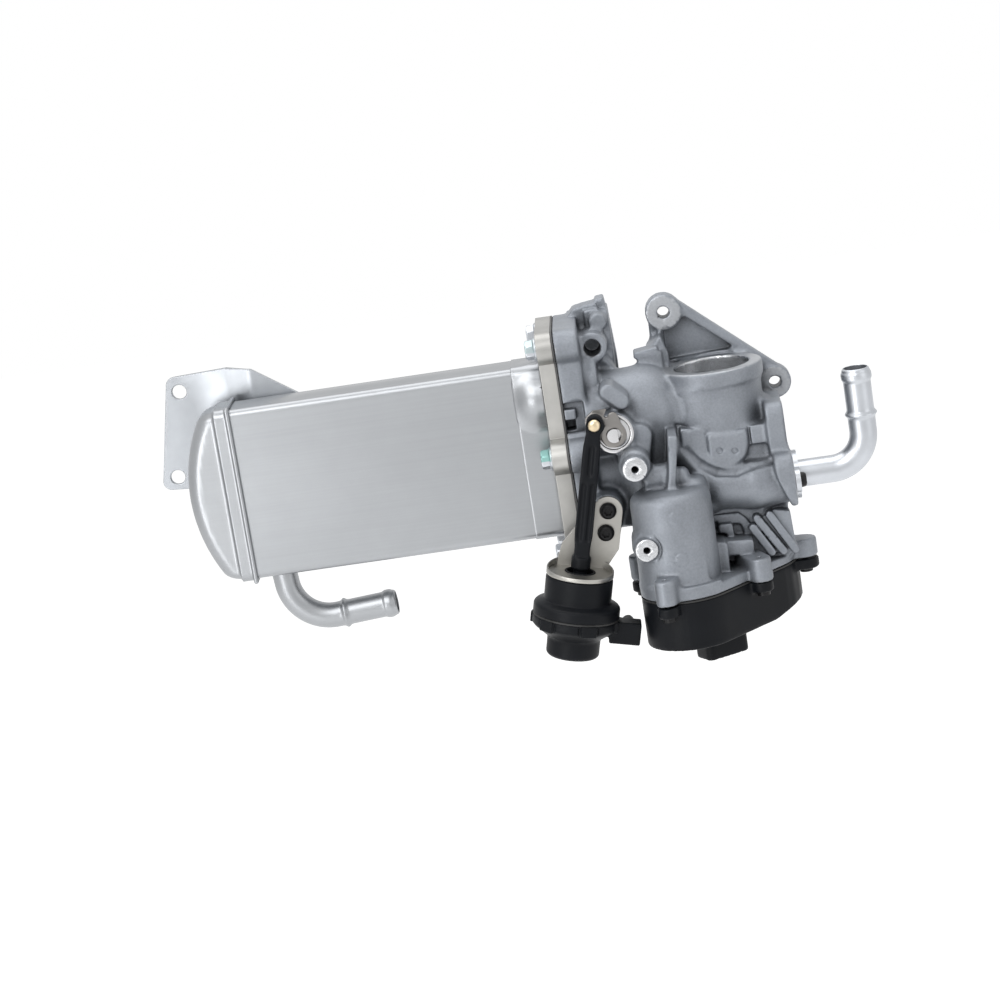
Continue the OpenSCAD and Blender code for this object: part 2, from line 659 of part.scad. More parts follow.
module flap_lever() {
    color(STEEL)
    difference() {
        slab_y(lever_y0, lever_y1) {
            polygon(capsule([flap_x, flap_z], 7.2, [pin_x, pin_z], 5.2));
            polygon(capsule([flap_x, flap_z], 6.6, [flap_x + 0.6, flap_z + 10.5], 3));
        }
        difference() {
            bar_y(flap_x, flap_z, -50, -40, shaft_d / 2 + 0.02);
            box(flap_x + 2.2, flap_x + 9, -51, -39, flap_z - 9, flap_z + 9);
        }
        bar_y(pin_x, pin_z, -50, -40, 2.8 + 0.02);
    }
}

module ball_pin() {
    color(BRASS) {
        bar_y(pin_x, pin_z, -55, -43.2, 2.8);
        translate([pin_x, -54.6, pin_z])
        rotate([90, 0, 0])
        rotate_extrude()
        polygon([[0, 0], [3.5, 0], [3.5, 1.2], [2.9, 2.2], [1.7, 2.9], [0, 3.1]]);
        bar_y(pin_x, pin_z, -46.9, -46.1, 4.4);
    }
}

module actuator_rod() {
    color(BLACK)
    act_frame()
    difference() {
        union() {
            translate([0, 3.5, 0])
            rotate([90, 0, 0])
            linear_extrude(7)
            polygon(concat(arc([0, rod_len], 6.2, -50, 230, 20), [[-5, rod_len - 14], [-5.2, 24], [-4.5, 17], [-4.5, 10],
                [4.5, 10], [4.5, 17], [5.2, 24], [5, rod_len - 14]]));
            translate([0, 0, 4]) cylinder(h = 7, r = 5.7);
            translate([0, 0, -19]) cylinder(h = 24, r = 4);
        }
        translate([0, 10, rod_len]) rotate([90, 0, 0]) cylinder(h = 20, r = 3.05);
        for (s = [-1, 1])
        for (y = [-5, 2.2])
        translate([s * 2.6 - 1.5, y, 20]) cube([3, 2.8, rod_len - 54]);
        for (y = [-5, 2.2])
        translate([-1.6, y, rod_len - 30]) cube([3.2, 2.8, 18]);
    }
}

module actuator_piston() {
    color(STEEL)
    act_frame()
    difference() {
        translate([0, 0, -22])
        rotate_extrude()
        polygon([[0, 0], [13, 0], [13, 1.5], [6.5, 1.5], [6.5, 5], [0, 5]]);
        translate([0, 0, -19]) cylinder(h = 10, r = 4 + 0.02);
    }
}

module actuator_diaphragm() {
    color(RUBBER)
    act_frame()
    rotate_extrude()
    polygon([[8, -20.4], [13.4, -20.4], [15, -18.9], [18.4, -18.9], [20.4, -22.9], [act_r - fit, -22.9],
        [act_r - fit, -23.9], [19.8, -23.9], [17.8, -19.9], [15.4, -19.9], [13.9, -21.4 + 0.9], [8, -20.45]]);
}

module actuator_spring() {
    color(STEEL)
    act_frame()
    translate([0, 0, -45.4]) coil(9.6, 1, 22.2, 4.5);
}

module actuator_upper_shell() {
    color(STEEL)
    act_frame()
    rotate_extrude()
    polygon([[7.6, 2.6], [8.9, 2.6], [8.9, 0], [18, 0], [19.4, -1.4], [19.4, -14.5], [act_r - 1.2, -16.2],
        [act_r, -17.6], [act_r, -22.9], [act_r - 2, -22.9], [act_r - 2, -17.9], [18.1, -15.8], [18.1, -1.6], [7.6, -1.6]]);
}

module actuator_lower_shell() {
    color(BLACK)
    act_frame() {
        difference() {
            union() {
                rotate_extrude()
                polygon([[0, -48], [13.8, -48], [15.4, -46.4], [15.4, -36.5], [act_r - 1.4, -30.6], [act_r, -29],
                    [act_r, -23.9], [0, -23.9]]);
                translate([act_r - 5, -6.5, -37.5]) cube([18, 13, 13]);
                translate([act_r + 6, 0, -31]) rotate([-90, 0, 0]) cylinder(h = 24, r = 3.6);
            }
            translate([0, 0, -23.8])
            rotate_extrude()
            polygon([[0, 1], [act_r - 2, 1], [act_r - 2, -5], [act_r - 3, -6.2], [14, -11.6], [14, -22.8], [0, -22.8]]);
            translate([0, 0, -31]) rotate([0, 90, 0]) cylinder(h = act_r + 7, r = 2);
            translate([act_r + 6, 0, -31]) rotate([-90, 0, 0]) cylinder(h = 25, r = 2);
        }
    }
}

module actuator_bracket() {
    color(STEEL)
    act_frame()
    difference() {
        union() {
            intersection() {
                cylinder(h = 2, r = 19);
                translate([-30, -30, -1]) cube([60, 30 + bracket_y - act_y + 2, 5]);
            }
            translate([0, bracket_y - act_y + 2, 0])
            rotate([90, 0, 0])
            linear_extrude(2)
            polygon(concat(arc(pads[1], 8.4, 0, 150, 9), [[-11.5, 15], [-14.2, 0], [14.2, 0], [21.4, 14]]));
        }
        translate([0, 0, -3]) cylinder(h = 9, r = 8.9 + fit);
        for (p = pads) translate([p[0], -2, p[1]]) rotate([-90, 0, 0]) cylinder(h = 30, r = 2.8);
    }
}

module bracket_screws() {
    color(BLACK)
    act_frame()
    for (p = pads)
    translate([p[0], bracket_y - act_y, p[1]])
    difference() {
        union() {
            rotate([90, 0, 0])
            rotate_extrude()
            polygon([[0, 0], [4.9, 0], [4.9, 0.9], [4.5, 2.2], [3.4, 3], [0, 3.2]]);
            rotate([-90, 0, 0]) cylinder(h = 13, r = 2.4);
        }
        rotate([90, 0, 0]) translate([0, 0, 1.2]) cylinder(h = 4, r = 2.1, $fn = 6);
    }
}

module valve_seat() {
    color(STEEL)
    rotate_extrude()
    polygon([[14.6, -26], [19.5 - fit, -26], [19.5 - fit, -21.6], [18.9, -21], [15.6, -21], [14.6, -22]]);
}

module valve_poppet() {
    color(STEEL)
    difference() {
        rotate_extrude()
        polygon([[0, -14.5], [4.5, -14.5], [6, -16], [16.8, -17.6], [16.8, -20.7], [14, -20.7], [13, -21.8],
            [stem_r + 1.2, -24], [stem_r, -27], [stem_r, drive_z1 + 0.9], [0, drive_z1 + 0.9]]);
        bar_x(-9, 9, 0, cross_z, cross_r + 0.02);
    }
}

module cross_pin() { color(STEEL) bar_x(-10.6, 10.6, 0, cross_z, cross_r); }

module stem_guide() {
    color(BRASS)
    difference() {
        bar_z(0, 0, -61.5, -45, 6 - fit);
        bar_z(0, 0, -70, -40, stem_r + run);
    }
}

module stem_seal() {
    color(RUBBER)
    difference() {
        bar_z(0, 0, -110, -104.2, 7.5 - fit);
        bar_z(0, 0, -111, -100, stem_r + run);
    }
}

module pin_guide() {
    color(STEEL)
    difference() {
        bar_z(0, 0, sleeve_z, -112.1, sleeve_r - fit);
        bar_z(0, 0, sleeve_z - 1, -110, hub_r + 0.4);
        box(-13, 13, -cross_r - run, cross_r + run, sleeve_z - 1, cross_z + lift + cross_r + 1);
    }
}

module drive_gear() {
    color(BLACK)
    difference() {
        union() {
            bar_z(0, 0, drive_z0, -122.5, hub_r);
            slab_z(drive_z0, drive_z1)
            intersection() {
                polygon(gear(out_n, a_oi));
                polygon(concat([[0, 0]], arc([0, 0], 45, a_oi - drive_turn - 16, a_oi + 16, 4)));
            }
            bar_z(0, 0, drive_z0, drive_z1, 12);
        }
        bar_z(0, 0, cover_z, -120, stem_r + 0.6);
        // Helical slots for the cross pin, stepped along the lead
        for (i = [-1 : 13])
        translate([0, 0, cross_z + lift * i / 12])
        rotate([0, 90, -drive_turn * i / 12])
        cylinder(h = 30, r = cross_r + 0.35, center = true);
    }
}

module idler_gear() {
    color(BLACK)
    translate([idler_c[0], idler_c[1], 0])
    difference() {
        union() {
            slab_z(big_z, big_z + 5.5) polygon(gear(big_n, a_mi + 180 + 180 / big_n));
            slab_z(drive_z0, big_z + 1) polygon(gear(small_n, a_oi + 180 + 180 / small_n));
        }
        bar_z(0, 0, cover_z, -120, 2.4 + run);
    }
}

module idler_pin() { color(STEEL) bar_z(idler_c[0], idler_c[1], cover_z + cover_wall + 0.2, deck_z + 5.8, 2.4); }

module motor_can() {
    color(STEEL)
    difference() {
        bar_z(motor_c[0], motor_c[1], deck_z + 0.4, -66, motor_bore - 0.2);
        bar_z(motor_c[0], motor_c[1], deck_z + 2, -68, motor_bore - 1.6);
        bar_z(motor_c[0], motor_c[1], deck_z - 1, -60, 1.6 + run);
    }
}

module motor_rotor() {
    color(STEEL)
    translate([motor_c[0], motor_c[1], 0]) {
        bar_z(0, 0, big_z - 1, -69, 1.6);
        bar_z(0, 0, -112, -76, motor_bore - 5.2);
        slab_z(big_z - 0.5, big_z + 6) polygon(gear(pin_n, a_mi));
    }
}

module return_spring() {
    color(STEEL)
    translate([0, 0, sleeve_z + 2]) coil(sleeve_r + 1.3, 0.75, 14, 4);
}

// Wedge under the raised bottom of the cover, beyond the drive's hub
module cover_rise(g) {
    slab_y(-80, 60) polygon([[14, cover_z - 1 + g], [14, cover_z - 20], [80, cover_z - 20], [80, cover_z + 19 + g]]);
}

module gear_cover() {
    color(BLACK)
    difference() {
        union() {
            slab_z(cover_z, cover_top) deck_outline(0);
            slab_z(cover_top - 6, cover_top)
            for (i = [0 : 4]) lug_outline(i, i == 2 ? 8 : 6.2);
            translate([plug_c[0], plug_c[1], cover_z - 11.5])
            rotate([0, 0, plug_a])
            linear_extrude(14) polygon(rounded(28, 17, 4));
        }
        difference() {
            slab_z(cover_z + cover_wall, cover_top + 1) deck_outline(-cover_wall);
            cover_rise(cover_wall);
        }
        cover_rise(0);
        for (p = deck_lugs) bar_z(p[0], p[1], cover_top - 9, cover_top + 1, 2.2);
        translate([plug_c[0], plug_c[1], cover_z - 12.5])
        rotate([0, 0, plug_a])
        linear_extrude(12) polygon(rounded(24, 13, 2.5));
    }
}

module connector_pins() {
    color(BRASS)
    translate([plug_c[0], plug_c[1], cover_z - 8])
    rotate([0, 0, plug_a])
    for (i = [-2 : 2]) translate([i * 4 - 0.5, -0.4, 0]) cube([1, 0.8, 7.5]);
}

module cover_gasket() {
    color(RUBBER)
    difference() {
        slab_z(cover_top, deck_z) deck_outline(0);
        slab_z(cover_top - 1, deck_z + 1) deck_outline(-cover_wall);
    }
}

module cover_screws() {
    color(STEEL)
    for (p = deck_lugs) {
        bar_z(p[0], p[1], cover_top - 8.4, cover_top - 6, screw_head_r);
        bar_z(p[0], p[1], cover_top - 7, deck_z + 8, 1.8);
    }
}

module coolant_inlet_pipe() {
    color(STEEL) {
        difference() {
            union() {
                bar_x(face_x - 6, in_x1 - in_bend_r, in_y, in_z, in_r);
                translate([in_x1 - in_bend_r, in_y, in_z + in_bend_r])
                rotate([90, 0, 0])
                rotate([0, 0, -90])
                rotate_extrude(angle = 90)
                translate([in_bend_r, 0]) circle(in_r);
            }
            bar_x(face_x - 7, in_x1 - in_bend_r + 0.01, in_y, in_z, in_r - 1);
            translate([in_x1 - in_bend_r, in_y, in_z + in_bend_r])
            rotate([90, 0, 0])
            rotate([0, 0, -90])
            rotate_extrude(angle = 90)
            translate([in_bend_r, 0]) circle(in_r - 1);
        }
        translate([in_x1, in_y, in_z + in_bend_r])
        hose_end(in_r, in_end_z - in_z - in_bend_r, in_end_z - in_z - in_bend_r - 27);
    }
}

module pipe_plate() {
    color(STEEL)
    difference() {
        slab_x(face_x, face_x + plate_t) {
            polygon(capsule(pipe_tabs[0], 7, pipe_tabs[1], 7));
            polygon(arc([in_y, in_z], in_r + 6.2, 0, 350, 35));
        }
        bar_x(face_x - 1, face_x + plate_t + 1, in_y, in_z, in_r + fit);
        for (p = pipe_tabs) bar_x(face_x - 1, face_x + plate_t + 1, p[0], p[1], 2.8);
    }
}

module pipe_screws() {
    color(BLACK)
    for (p = pipe_tabs) {
        bar_x(face_x - 9, face_x + plate_t + 0.5, p[0], p[1], 2.4);
        bar_x(face_x + plate_t, face_x + plate_t + 3.4, p[0], p[1], 4.4);
    }
}

module pipe_o_ring() {
    color(RUBBER)
    translate([face_x - 1.05, in_y, in_z])
    rotate([0, 90, 0])
    rotate_extrude()
    translate([in_r + 1.4, 0]) circle(1);
}

cooler_casing();
end_cap();
gas_header();
cooler_flange();
tube_plate_left();
tube_plate_right();
gas_tubes();
pass_divider();
coolant_baffle();
coolant_feed_tube();
coolant_outlet_pipe();
mounting_bracket();
cooler_gasket();
flange_bolts();
valve_housing();
flap_bushing();
flap_seal();
flap_shaft();
flap_plate();
flap_lever();
ball_pin();
actuator_rod();
actuator_piston();
actuator_bracket();
bracket_screws();
actuator_upper_shell();
actuator_lower_shell();
actuator_diaphragm();
actuator_spring();
valve_seat();
valve_poppet();
cross_pin();
stem_guide();
stem_seal();
pin_guide();
motor_can();
motor_rotor();
idler_gear();
idler_pin();
drive_gear();
return_spring();
gear_cover();
connector_pins();
cover_gasket();
cover_screws();
coolant_inlet_pipe();
pipe_plate();
pipe_screws();
pipe_o_ring();
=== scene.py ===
"""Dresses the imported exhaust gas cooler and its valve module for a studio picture.

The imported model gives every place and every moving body. This script adds the
surfaces that a plain solid lacks: cast fillets, pressed sheet, moulded covers,
rolled pipe ends, and the finish of each material. Lengths are in millimetres
until a mesh is made.
"""

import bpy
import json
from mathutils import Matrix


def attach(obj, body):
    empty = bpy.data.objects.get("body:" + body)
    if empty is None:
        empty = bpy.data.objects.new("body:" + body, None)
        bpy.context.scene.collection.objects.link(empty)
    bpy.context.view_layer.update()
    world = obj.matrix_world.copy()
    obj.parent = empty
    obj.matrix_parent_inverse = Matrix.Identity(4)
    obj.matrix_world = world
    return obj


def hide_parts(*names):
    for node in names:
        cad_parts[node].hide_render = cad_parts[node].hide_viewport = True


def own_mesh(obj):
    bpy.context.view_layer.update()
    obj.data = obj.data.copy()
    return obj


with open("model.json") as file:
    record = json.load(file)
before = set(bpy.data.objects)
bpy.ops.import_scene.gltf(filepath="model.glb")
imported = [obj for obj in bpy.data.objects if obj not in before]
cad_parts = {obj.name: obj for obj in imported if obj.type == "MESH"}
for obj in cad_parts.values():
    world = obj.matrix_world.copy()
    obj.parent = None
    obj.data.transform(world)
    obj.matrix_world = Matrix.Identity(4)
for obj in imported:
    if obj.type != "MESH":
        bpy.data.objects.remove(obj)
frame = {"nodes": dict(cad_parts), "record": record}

import json
import logging
import math
from dataclasses import dataclass, field
from enum import Enum
from typing import Callable, Iterable, Sequence

import bpy
import numpy as np
import openvdb as vdb
from mathutils import Matrix, Vector

LOG = logging.getLogger("egr_cooler")
MM = 0.001
RECESS = 14.0  # depth in millimetres over which a hollow looks shaded
Array = np.ndarray


class Slot(str, Enum):
    """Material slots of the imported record."""

    STAINLESS = "stainless_sheet"
    FLANGE = "flange_steel"
    CAST = "cast_aluminium"
    ZINC = "zinc_steel"
    BLACK = "black_plastic"
    SCREW = "black_screw"
    RUBBER = "rubber_black"
    GASKET = "gasket_grey"
    YELLOW = "yellow_metal"
    BRIGHT = "bright_steel"
    GEAR = "gear_plastic"


class Body(str, Enum):
    """Bodies of the joint tree that visible pieces ride on."""

    HOUSING = "housing"
    FLAP = "flap"
    ROD = "rod"


@dataclass
class Surface:
    """Plain polygon data of one surface, in millimetres.

    Attributes:
        verts: Points, one row each.
        quads: Four-sided faces.
        tris: Three-sided faces.
        normals: Optional shading normal of every point.
        marks: Optional point attributes for the shaders.
    """

    verts: Array
    quads: Array = field(default_factory=lambda: np.zeros((0, 4), np.int32))
    tris: Array = field(default_factory=lambda: np.zeros((0, 3), np.int32))
    normals: Array | None = None
    marks: dict[str, Array] = field(default_factory=dict)

    def moved(self, turn: Array, shift: Sequence[float]) -> "Surface":
        """Returns the surface turned, then shifted.

        Args:
            turn: 3 by 3 rotation.
            shift: Move in millimetres.

        Returns:
            A new surface with the same faces.
        """
        normals = None if self.normals is None else self.normals @ turn.T
        verts = self.verts @ turn.T + np.asarray(shift, float)
        return Surface(verts, self.quads, self.tris, normals, self.marks)

    @staticmethod
    def join(parts: Sequence["Surface"]) -> "Surface":
        """Returns several surfaces as one.

        Args:
            parts: Surfaces without normals.

        Returns:
            One surface with all points and faces.
        """
        starts = np.cumsum([0] + [len(p.verts) for p in parts[:-1]])
        return Surface(
            np.concatenate([p.verts for p in parts]),
            np.concatenate([p.quads + s for p, s in zip(parts, starts)]),
            np.concatenate([p.tris + s for p, s in zip(parts, starts)]),
        )

    def to_object(self, name: str, sharp_deg: float | None = None) -> bpy.types.Object:
        """Makes a linked Blender object at the origin.

        Args:
            name: Object and mesh name.
            sharp_deg: Angle over which an edge stays sharp, or None for smooth.

        Returns:
            The new object.
        """
        mesh = bpy.data.meshes.new(name)
        mesh.vertices.add(len(self.verts))
        mesh.vertices.foreach_set("co", np.ascontiguousarray(self.verts * MM, np.float32).ravel())
        loops = np.concatenate([self.quads.ravel(), self.tris.ravel()]).astype(np.int32)
        sizes = np.concatenate([np.full(len(self.quads), 4), np.full(len(self.tris), 3)]).astype(np.int32)
        mesh.loops.add(len(loops))
        mesh.loops.foreach_set("vertex_index", loops)
        mesh.polygons.add(len(sizes))
        mesh.polygons.foreach_set("loop_start", np.concatenate([[0], np.cumsum(sizes)[:-1]]).astype(np.int32))
        mesh.update(calc_edges=True)
        mesh.validate()
        for key, values in self.marks.items():
            mesh.attributes.new(key, "FLOAT", "POINT").data.foreach_set("value", values.astype(np.float32))
        mesh.shade_smooth()
        if sharp_deg is not None:
            mesh.set_sharp_from_angle(angle=math.radians(sharp_deg))
        if self.normals is not None:
            mesh.normals_split_custom_set_from_vertices(self.normals)
        obj = bpy.data.objects.new(name, mesh)
        bpy.context.scene.collection.objects.link(obj)
        return obj


def grid_quads(rows: int, cols: int, closed: bool = False) -> Array:
    """Returns the faces of a grid that closes on itself along its columns.

    Face (i, j) joins points (i, j), (i, j+1), (i+1, j+1), (i+1, j), with j
    taken modulo cols and the point number i * cols + j.

    Args:
        rows: Number of rings.
        cols: Points in a ring.
        closed: Joins the last ring to the first one too.

    Returns:
        Face array with cols rows for each pair of rings.
    """
    i, j = np.meshgrid(np.arange(rows if closed else rows - 1), np.arange(cols), indexing="ij")
    k, n = (j + 1) % cols, (i + 1) % rows
    return np.stack([i * cols + j, i * cols + k, n * cols + k, n * cols + j], -1).reshape(-1, 4)


def rings(points: Array) -> Surface:
    """Skins a stack of rings and closes both ends with a fan.

    P(i, j) are the given points; a pole at the mean of the first ring and one
    at the mean of the last ring close the skin.

    Args:
        points: Array of shape (rings, points in a ring, 3).

    Returns:
        A closed surface.
    """
    rows, cols = points.shape[:2]
    j = np.arange(cols)
    k = (j + 1) % cols
    n = rows * cols
    first = np.stack([np.full(cols, n), k, j], -1)
    last = np.stack([np.full(cols, n + 1), (rows - 1) * cols + j, (rows - 1) * cols + k], -1)
    verts = np.concatenate([points.reshape(-1, 3), points[0].mean(0)[None], points[-1].mean(0)[None]])
    return Surface(verts, grid_quads(rows, cols), np.concatenate([first, last]))


def full_turn(count: int) -> Array:
    """Returns evenly spaced angles over one turn."""
    return np.linspace(0, 2 * np.pi, count, endpoint=False)


def turned(profile: Iterable[Sequence[Array | float]], a: Array) -> Array:
    """Turns a profile about Z: P(i, a) = (r_i cos a, r_i sin a, z_i).

    Args:
        profile: Rows of radius and height, each a number or one value per angle.
        a: Angles round the axis.

    Returns:
        Points of shape (rows, angles, 3).
    """
    return np.stack([np.stack([r * np.cos(a), r * np.sin(a), z + 0 * a], -1) for r, z in profile])


def rounded_path(points: Sequence[Sequence[float]], radius: float, steps: int = 5) -> Array:
    """Rounds the inner corners of a polyline in the plane with short arcs.

    A corner B between A and C becomes the quadratic curve
    (1-t)^2 P + 2t(1-t) B + t^2 Q, where P and Q lie on BA and BC at the radius,
    or at 0.45 of the shorter side.

    Args:
        points: Corner points, two columns.
        radius: Distance from a corner at which its curve starts.
        steps: Pieces of a curve.

    Returns:
        The denser polyline.
    """
    longest_share = 0.45
    p = np.asarray(points, float)
    t = np.linspace(0, 1, steps + 1)[:, None]
    out = [p[:1]]
    for a, b, c in zip(p[:-2], p[1:-1], p[2:]):
        to_a, to_c = np.linalg.norm(a - b), np.linalg.norm(c - b)
        reach = min(radius, longest_share * to_a, longest_share * to_c)
        start, end = b + (a - b) / to_a * reach, b + (c - b) / to_c * reach
        out.append((1 - t) ** 2 * start + 2 * t * (1 - t) * b + t**2 * end)
    return np.concatenate(out + [p[-1:]])


def hex_bolt(across: float, head: float, washer_r: float, washer_h: float,
             shank_r: float, shank: float) -> Surface:
    """Flanged hexagon bolt along Z, head up, seat at z = 0.

    The head's ring has r(a) = min(s / (2 cos(a mod 60 - 30)), c_i), so that the
    circle c_i chamfers the hexagon's corners near its top. The small numbers
    are the chamfers and the dish of a forged head.

    Args:
        across: Width across flats.
        head: Height of the hexagon over the washer.
        washer_r: Radius of the washer face.
        washer_h: Thickness of the washer face.
        shank_r: Radius of the shank.
        shank: Length of the shank.

    Returns:
        A closed surface.
    """
    a = full_turn(96)
    flat, corner, top = across / 2, across / np.sqrt(3), washer_h + head
    hexagon = flat / np.cos((a % (np.pi / 3)) - np.pi / 6)
    shaft = [(shank_r, -shank), (shank_r, 0.0)]
    washer = [(washer_r - 0.2, 0.0), (washer_r, 0.2), (washer_r, washer_h - 0.5), (washer_r - 0.7, washer_h)]
    sides = [(np.minimum(hexagon + 0.25, washer_r - 0.75), washer_h + 0.05), (hexagon, washer_h + 0.35),
             (hexagon, top - 1.0)]
    chamfer = [(np.minimum(hexagon, corner - 0.25), top - 0.7),
               (np.minimum(hexagon - 0.05, flat + 0.15), top - 0.25)]
    dish = [(flat - 0.5, top), (flat - 1.6, top), (flat - 2.0, top - 0.35), (0.4, top - 0.35)]
    return rings(turned(shaft + washer + sides + chamfer + dish, a))


def dome_screw(head_r: float, head_h: float, socket_r: float, shank_r: float, shank: float) -> Surface:
    """Low round-head screw with a six-lobed socket, along Z, seat at z = 0.

    The crown is a quarter ellipse over a straight rim, and the socket's ring
    has r(a) = s (1 + 0.12 cos 6a).

    Args:
        head_r: Radius of the head.
        head_h: Height of the head.
        socket_r: Mean radius of the socket.
        shank_r: Radius of the shank.
        shank: Length of the shank.

    Returns:
        A closed surface.
    """
    a = full_turn(72)
    lobes = socket_r * (1 + 0.12 * np.cos(6 * a))
    rim, mouth = 0.28, 1.3 * socket_r
    s = np.linspace(0, 1, 8)[1:]
    crown = zip(head_r + (mouth - head_r) * s, head_h * (rim + (1 - rim) * np.sqrt(1 - (1 - s) ** 2)))
    shaft = [(shank_r, -shank), (shank_r, 0.0)]
    side = [(head_r - 0.15, 0.0), (head_r, 0.15), (head_r, rim * head_h)]
    socket = [(lobes + 0.15, head_h), (lobes, head_h - 0.2),
              (lobes, head_h * 0.35), (lobes * 0.3, head_h * 0.3)]
    return rings(turned(shaft + side + list(crown) + socket, a))


def aim(axis: Sequence[float]) -> Array:
    """Returns a rotation that carries +Z onto the axis.

    Args:
        axis: Direction, any length.

    Returns:
        3 by 3 rotation.
    """
    return np.array(Vector((0, 0, 1)).rotation_difference(Vector(axis)).to_matrix())


def about_y(deg: float) -> Array:
    """Returns the rotation about Y by an angle in degrees."""
    return np.array(Matrix.Rotation(math.radians(deg), 3, "Y"))


def cad_mesh(node: str) -> Surface:
    """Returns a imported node's own triangles with its doubled points merged.

    Args:
        node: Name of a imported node.

    Returns:
        Its closed surface in millimetres.
    """
    mesh = frame["nodes"][node].data
    mesh.calc_loop_triangles()
    co = np.zeros(len(mesh.vertices) * 3, np.float32)
    mesh.vertices.foreach_get("co", co)
    tris = np.zeros(len(mesh.loop_triangles) * 3, np.int32)
    mesh.loop_triangles.foreach_get("vertices", tris)
    keys = np.round(co.reshape(-1, 3).astype(float) / MM, 4)
    verts, index = np.unique(keys, axis=0, return_inverse=True)
    tris = index.reshape(-1)[tris].reshape(-1, 3)
    keep = (tris[:, 0] != tris[:, 1]) & (tris[:, 1] != tris[:, 2]) & (tris[:, 2] != tris[:, 0])
    return Surface(verts, tris=tris[keep])


class Field:
    """Signed distances on a regular grid, negative inside, in millimetres.

    Attributes:
        ROOM: Distance past a shape's box up to which its samples are worked out.
        FAR: Distance that an empty field holds.
        EVERYWHERE: Box that takes in every field.
    """

    ROOM = 2.0
    FAR = 9.0
    EVERYWHERE = ((-999.0,) * 3, (999.0,) * 3)

    def __init__(self, low: Array, voxel: float, values: Array) -> None:
        """Keeps the samples.

        Args:
            low: Index of the first sample on each axis.
            voxel: Distance between samples.
            values: Distances, one per sample.
        """
        self.low, self.voxel, self.values = np.asarray(low, int), voxel, values

    @staticmethod
    def blank(low: Sequence[float], high: Sequence[float], voxel: float) -> "Field":
        """Returns an empty field over a box.

        Args:
            low: Lowest corner.
            high: Highest corner.
            voxel: Distance between samples.

        Returns:
            A field that is outside everywhere.
        """
        first = np.floor(np.asarray(low) / voxel).astype(int)
        shape = np.ceil(np.asarray(high) / voxel).astype(int) - first + 1
        return Field(first, voxel, np.full(shape, Field.FAR, np.float32))

    @staticmethod
    def from_solid(solid: Surface, voxel: float, close: float, open_: float) -> "Field":
        """Samples a closed surface with its corners rounded.

        Closing grows the solid by a radius and shrinks it again, which fills
        its inner corners like a cast fillet. Opening does the reverse, which
        rounds its outer edges.

        Args:
            solid: Closed surface.
            voxel: Distance between samples.
            close: Radius of the inner corners.
            open_: Radius of the outer edges.

        Returns:
            The rounded solid.
        """
        grid_frame = vdb.createLinearTransform(voxelSize=voxel)
        band = math.ceil(max(close, open_) / voxel) + 3.0

        def sample(verts: Array, tris: Array | None, quads: Array | None) -> vdb.FloatGrid:
            """Returns the distances to a polygon surface."""
            faces = {}
            if tris is not None:
                faces["triangles"] = np.ascontiguousarray(tris, np.uint32)
            if quads is not None:
                faces["quads"] = np.ascontiguousarray(quads, np.uint32)
            return vdb.FloatGrid.createLevelSetFromPolygons(
                np.ascontiguousarray(verts, np.float32), transform=grid_frame, halfWidth=band, **faces)

        grid = sample(solid.verts, solid.tris, solid.quads if len(solid.quads) else None)
        for offset in (close, -close, -open_, open_):
            if offset:
                points, quads = grid.convertToQuads(isovalue=offset)
                grid = sample(points, None, quads)
        low, high = (np.array(c) for c in grid.evalActiveVoxelBoundingBox())
        values = np.zeros(high - low + 3, np.float32)
        grid.copyToArray(values, ijk=tuple(int(v) for v in low - 1))
        return Field(low - 1, voxel, values)

    def part(self, low: Sequence[float], high: Sequence[float]) -> tuple[tuple[slice, ...], list[Array]]:
        """Returns the samples inside a box.

        Args:
            low: Lowest corner.
            high: Highest corner.

        Returns:
            Slices into the values, and the x, y and z of the samples.
        """
        size = self.values.shape
        first = np.clip(np.floor(np.asarray(low) / self.voxel).astype(int) - self.low, 0, size)
        last = np.clip(np.ceil(np.asarray(high) / self.voxel).astype(int) - self.low + 1, 0, size)
        axes = [(np.arange(a, b) + o) * self.voxel for a, b, o in zip(first, last, self.low)]
        where = tuple(slice(a, b) for a, b in zip(first, last))
        return where, list(np.meshgrid(*axes, indexing="ij", sparse=True))

    def shape_in(self, low: Sequence[float], high: Sequence[float], distance: Callable[..., Array],
                 cut: bool = False, blend: float = 0.0) -> None:
        """Adds a shape to the solid, or cuts it away.

        Adding takes melt(d, s, blend), and cutting takes -melt(-d, s, blend).

        Args:
            low: Lowest corner of the box to work in.
            high: Highest corner of that box.
            distance: Gives the shape's signed distance for x, y, z.
            cut: Cuts the shape away instead of adding it.
            blend: Width over which the two surfaces melt together.
        """
        where, (x, y, z) = self.part(low, high)
        base = self.values[where]
        sign = -1.0 if cut else 1.0
        self.values[where] = sign * melt(sign * base, np.broadcast_to(distance(x, y, z), base.shape), blend)

    def add(self, *shapes: "Prism | Bar") -> None:
        """Adds shapes in order, each melted in over its own width.

        Args:
            *shapes: Prisms or bars.
        """
        for shape in shapes:
            self.shape_in(*shape.box(shape.melt + self.ROOM), shape.distance, False, shape.melt)

    def cut(self, *shapes: "Prism | Bar") -> None:
        """Cuts shapes away in order, each with its edge melted over its own width.

        Args:
            *shapes: Prisms or bars.
        """
        for shape in shapes:
            self.shape_in(*shape.box(shape.melt + self.ROOM), shape.distance, True, shape.melt)

    def cut_round(self, shape: "Prism | Bar", kept: "Prism | Bar") -> None:
        """Cuts a shape away and leaves another standing: what goes is max(s, -k).

        Args:
            shape: Prism or bar to cut.
            kept: Prism or bar that stays.
        """
        def distance(x: Array, y: Array, z: Array) -> Array:
            """Returns the distance to what is cut."""
            return np.maximum(shape.distance(x, y, z), -kept.distance(x, y, z))

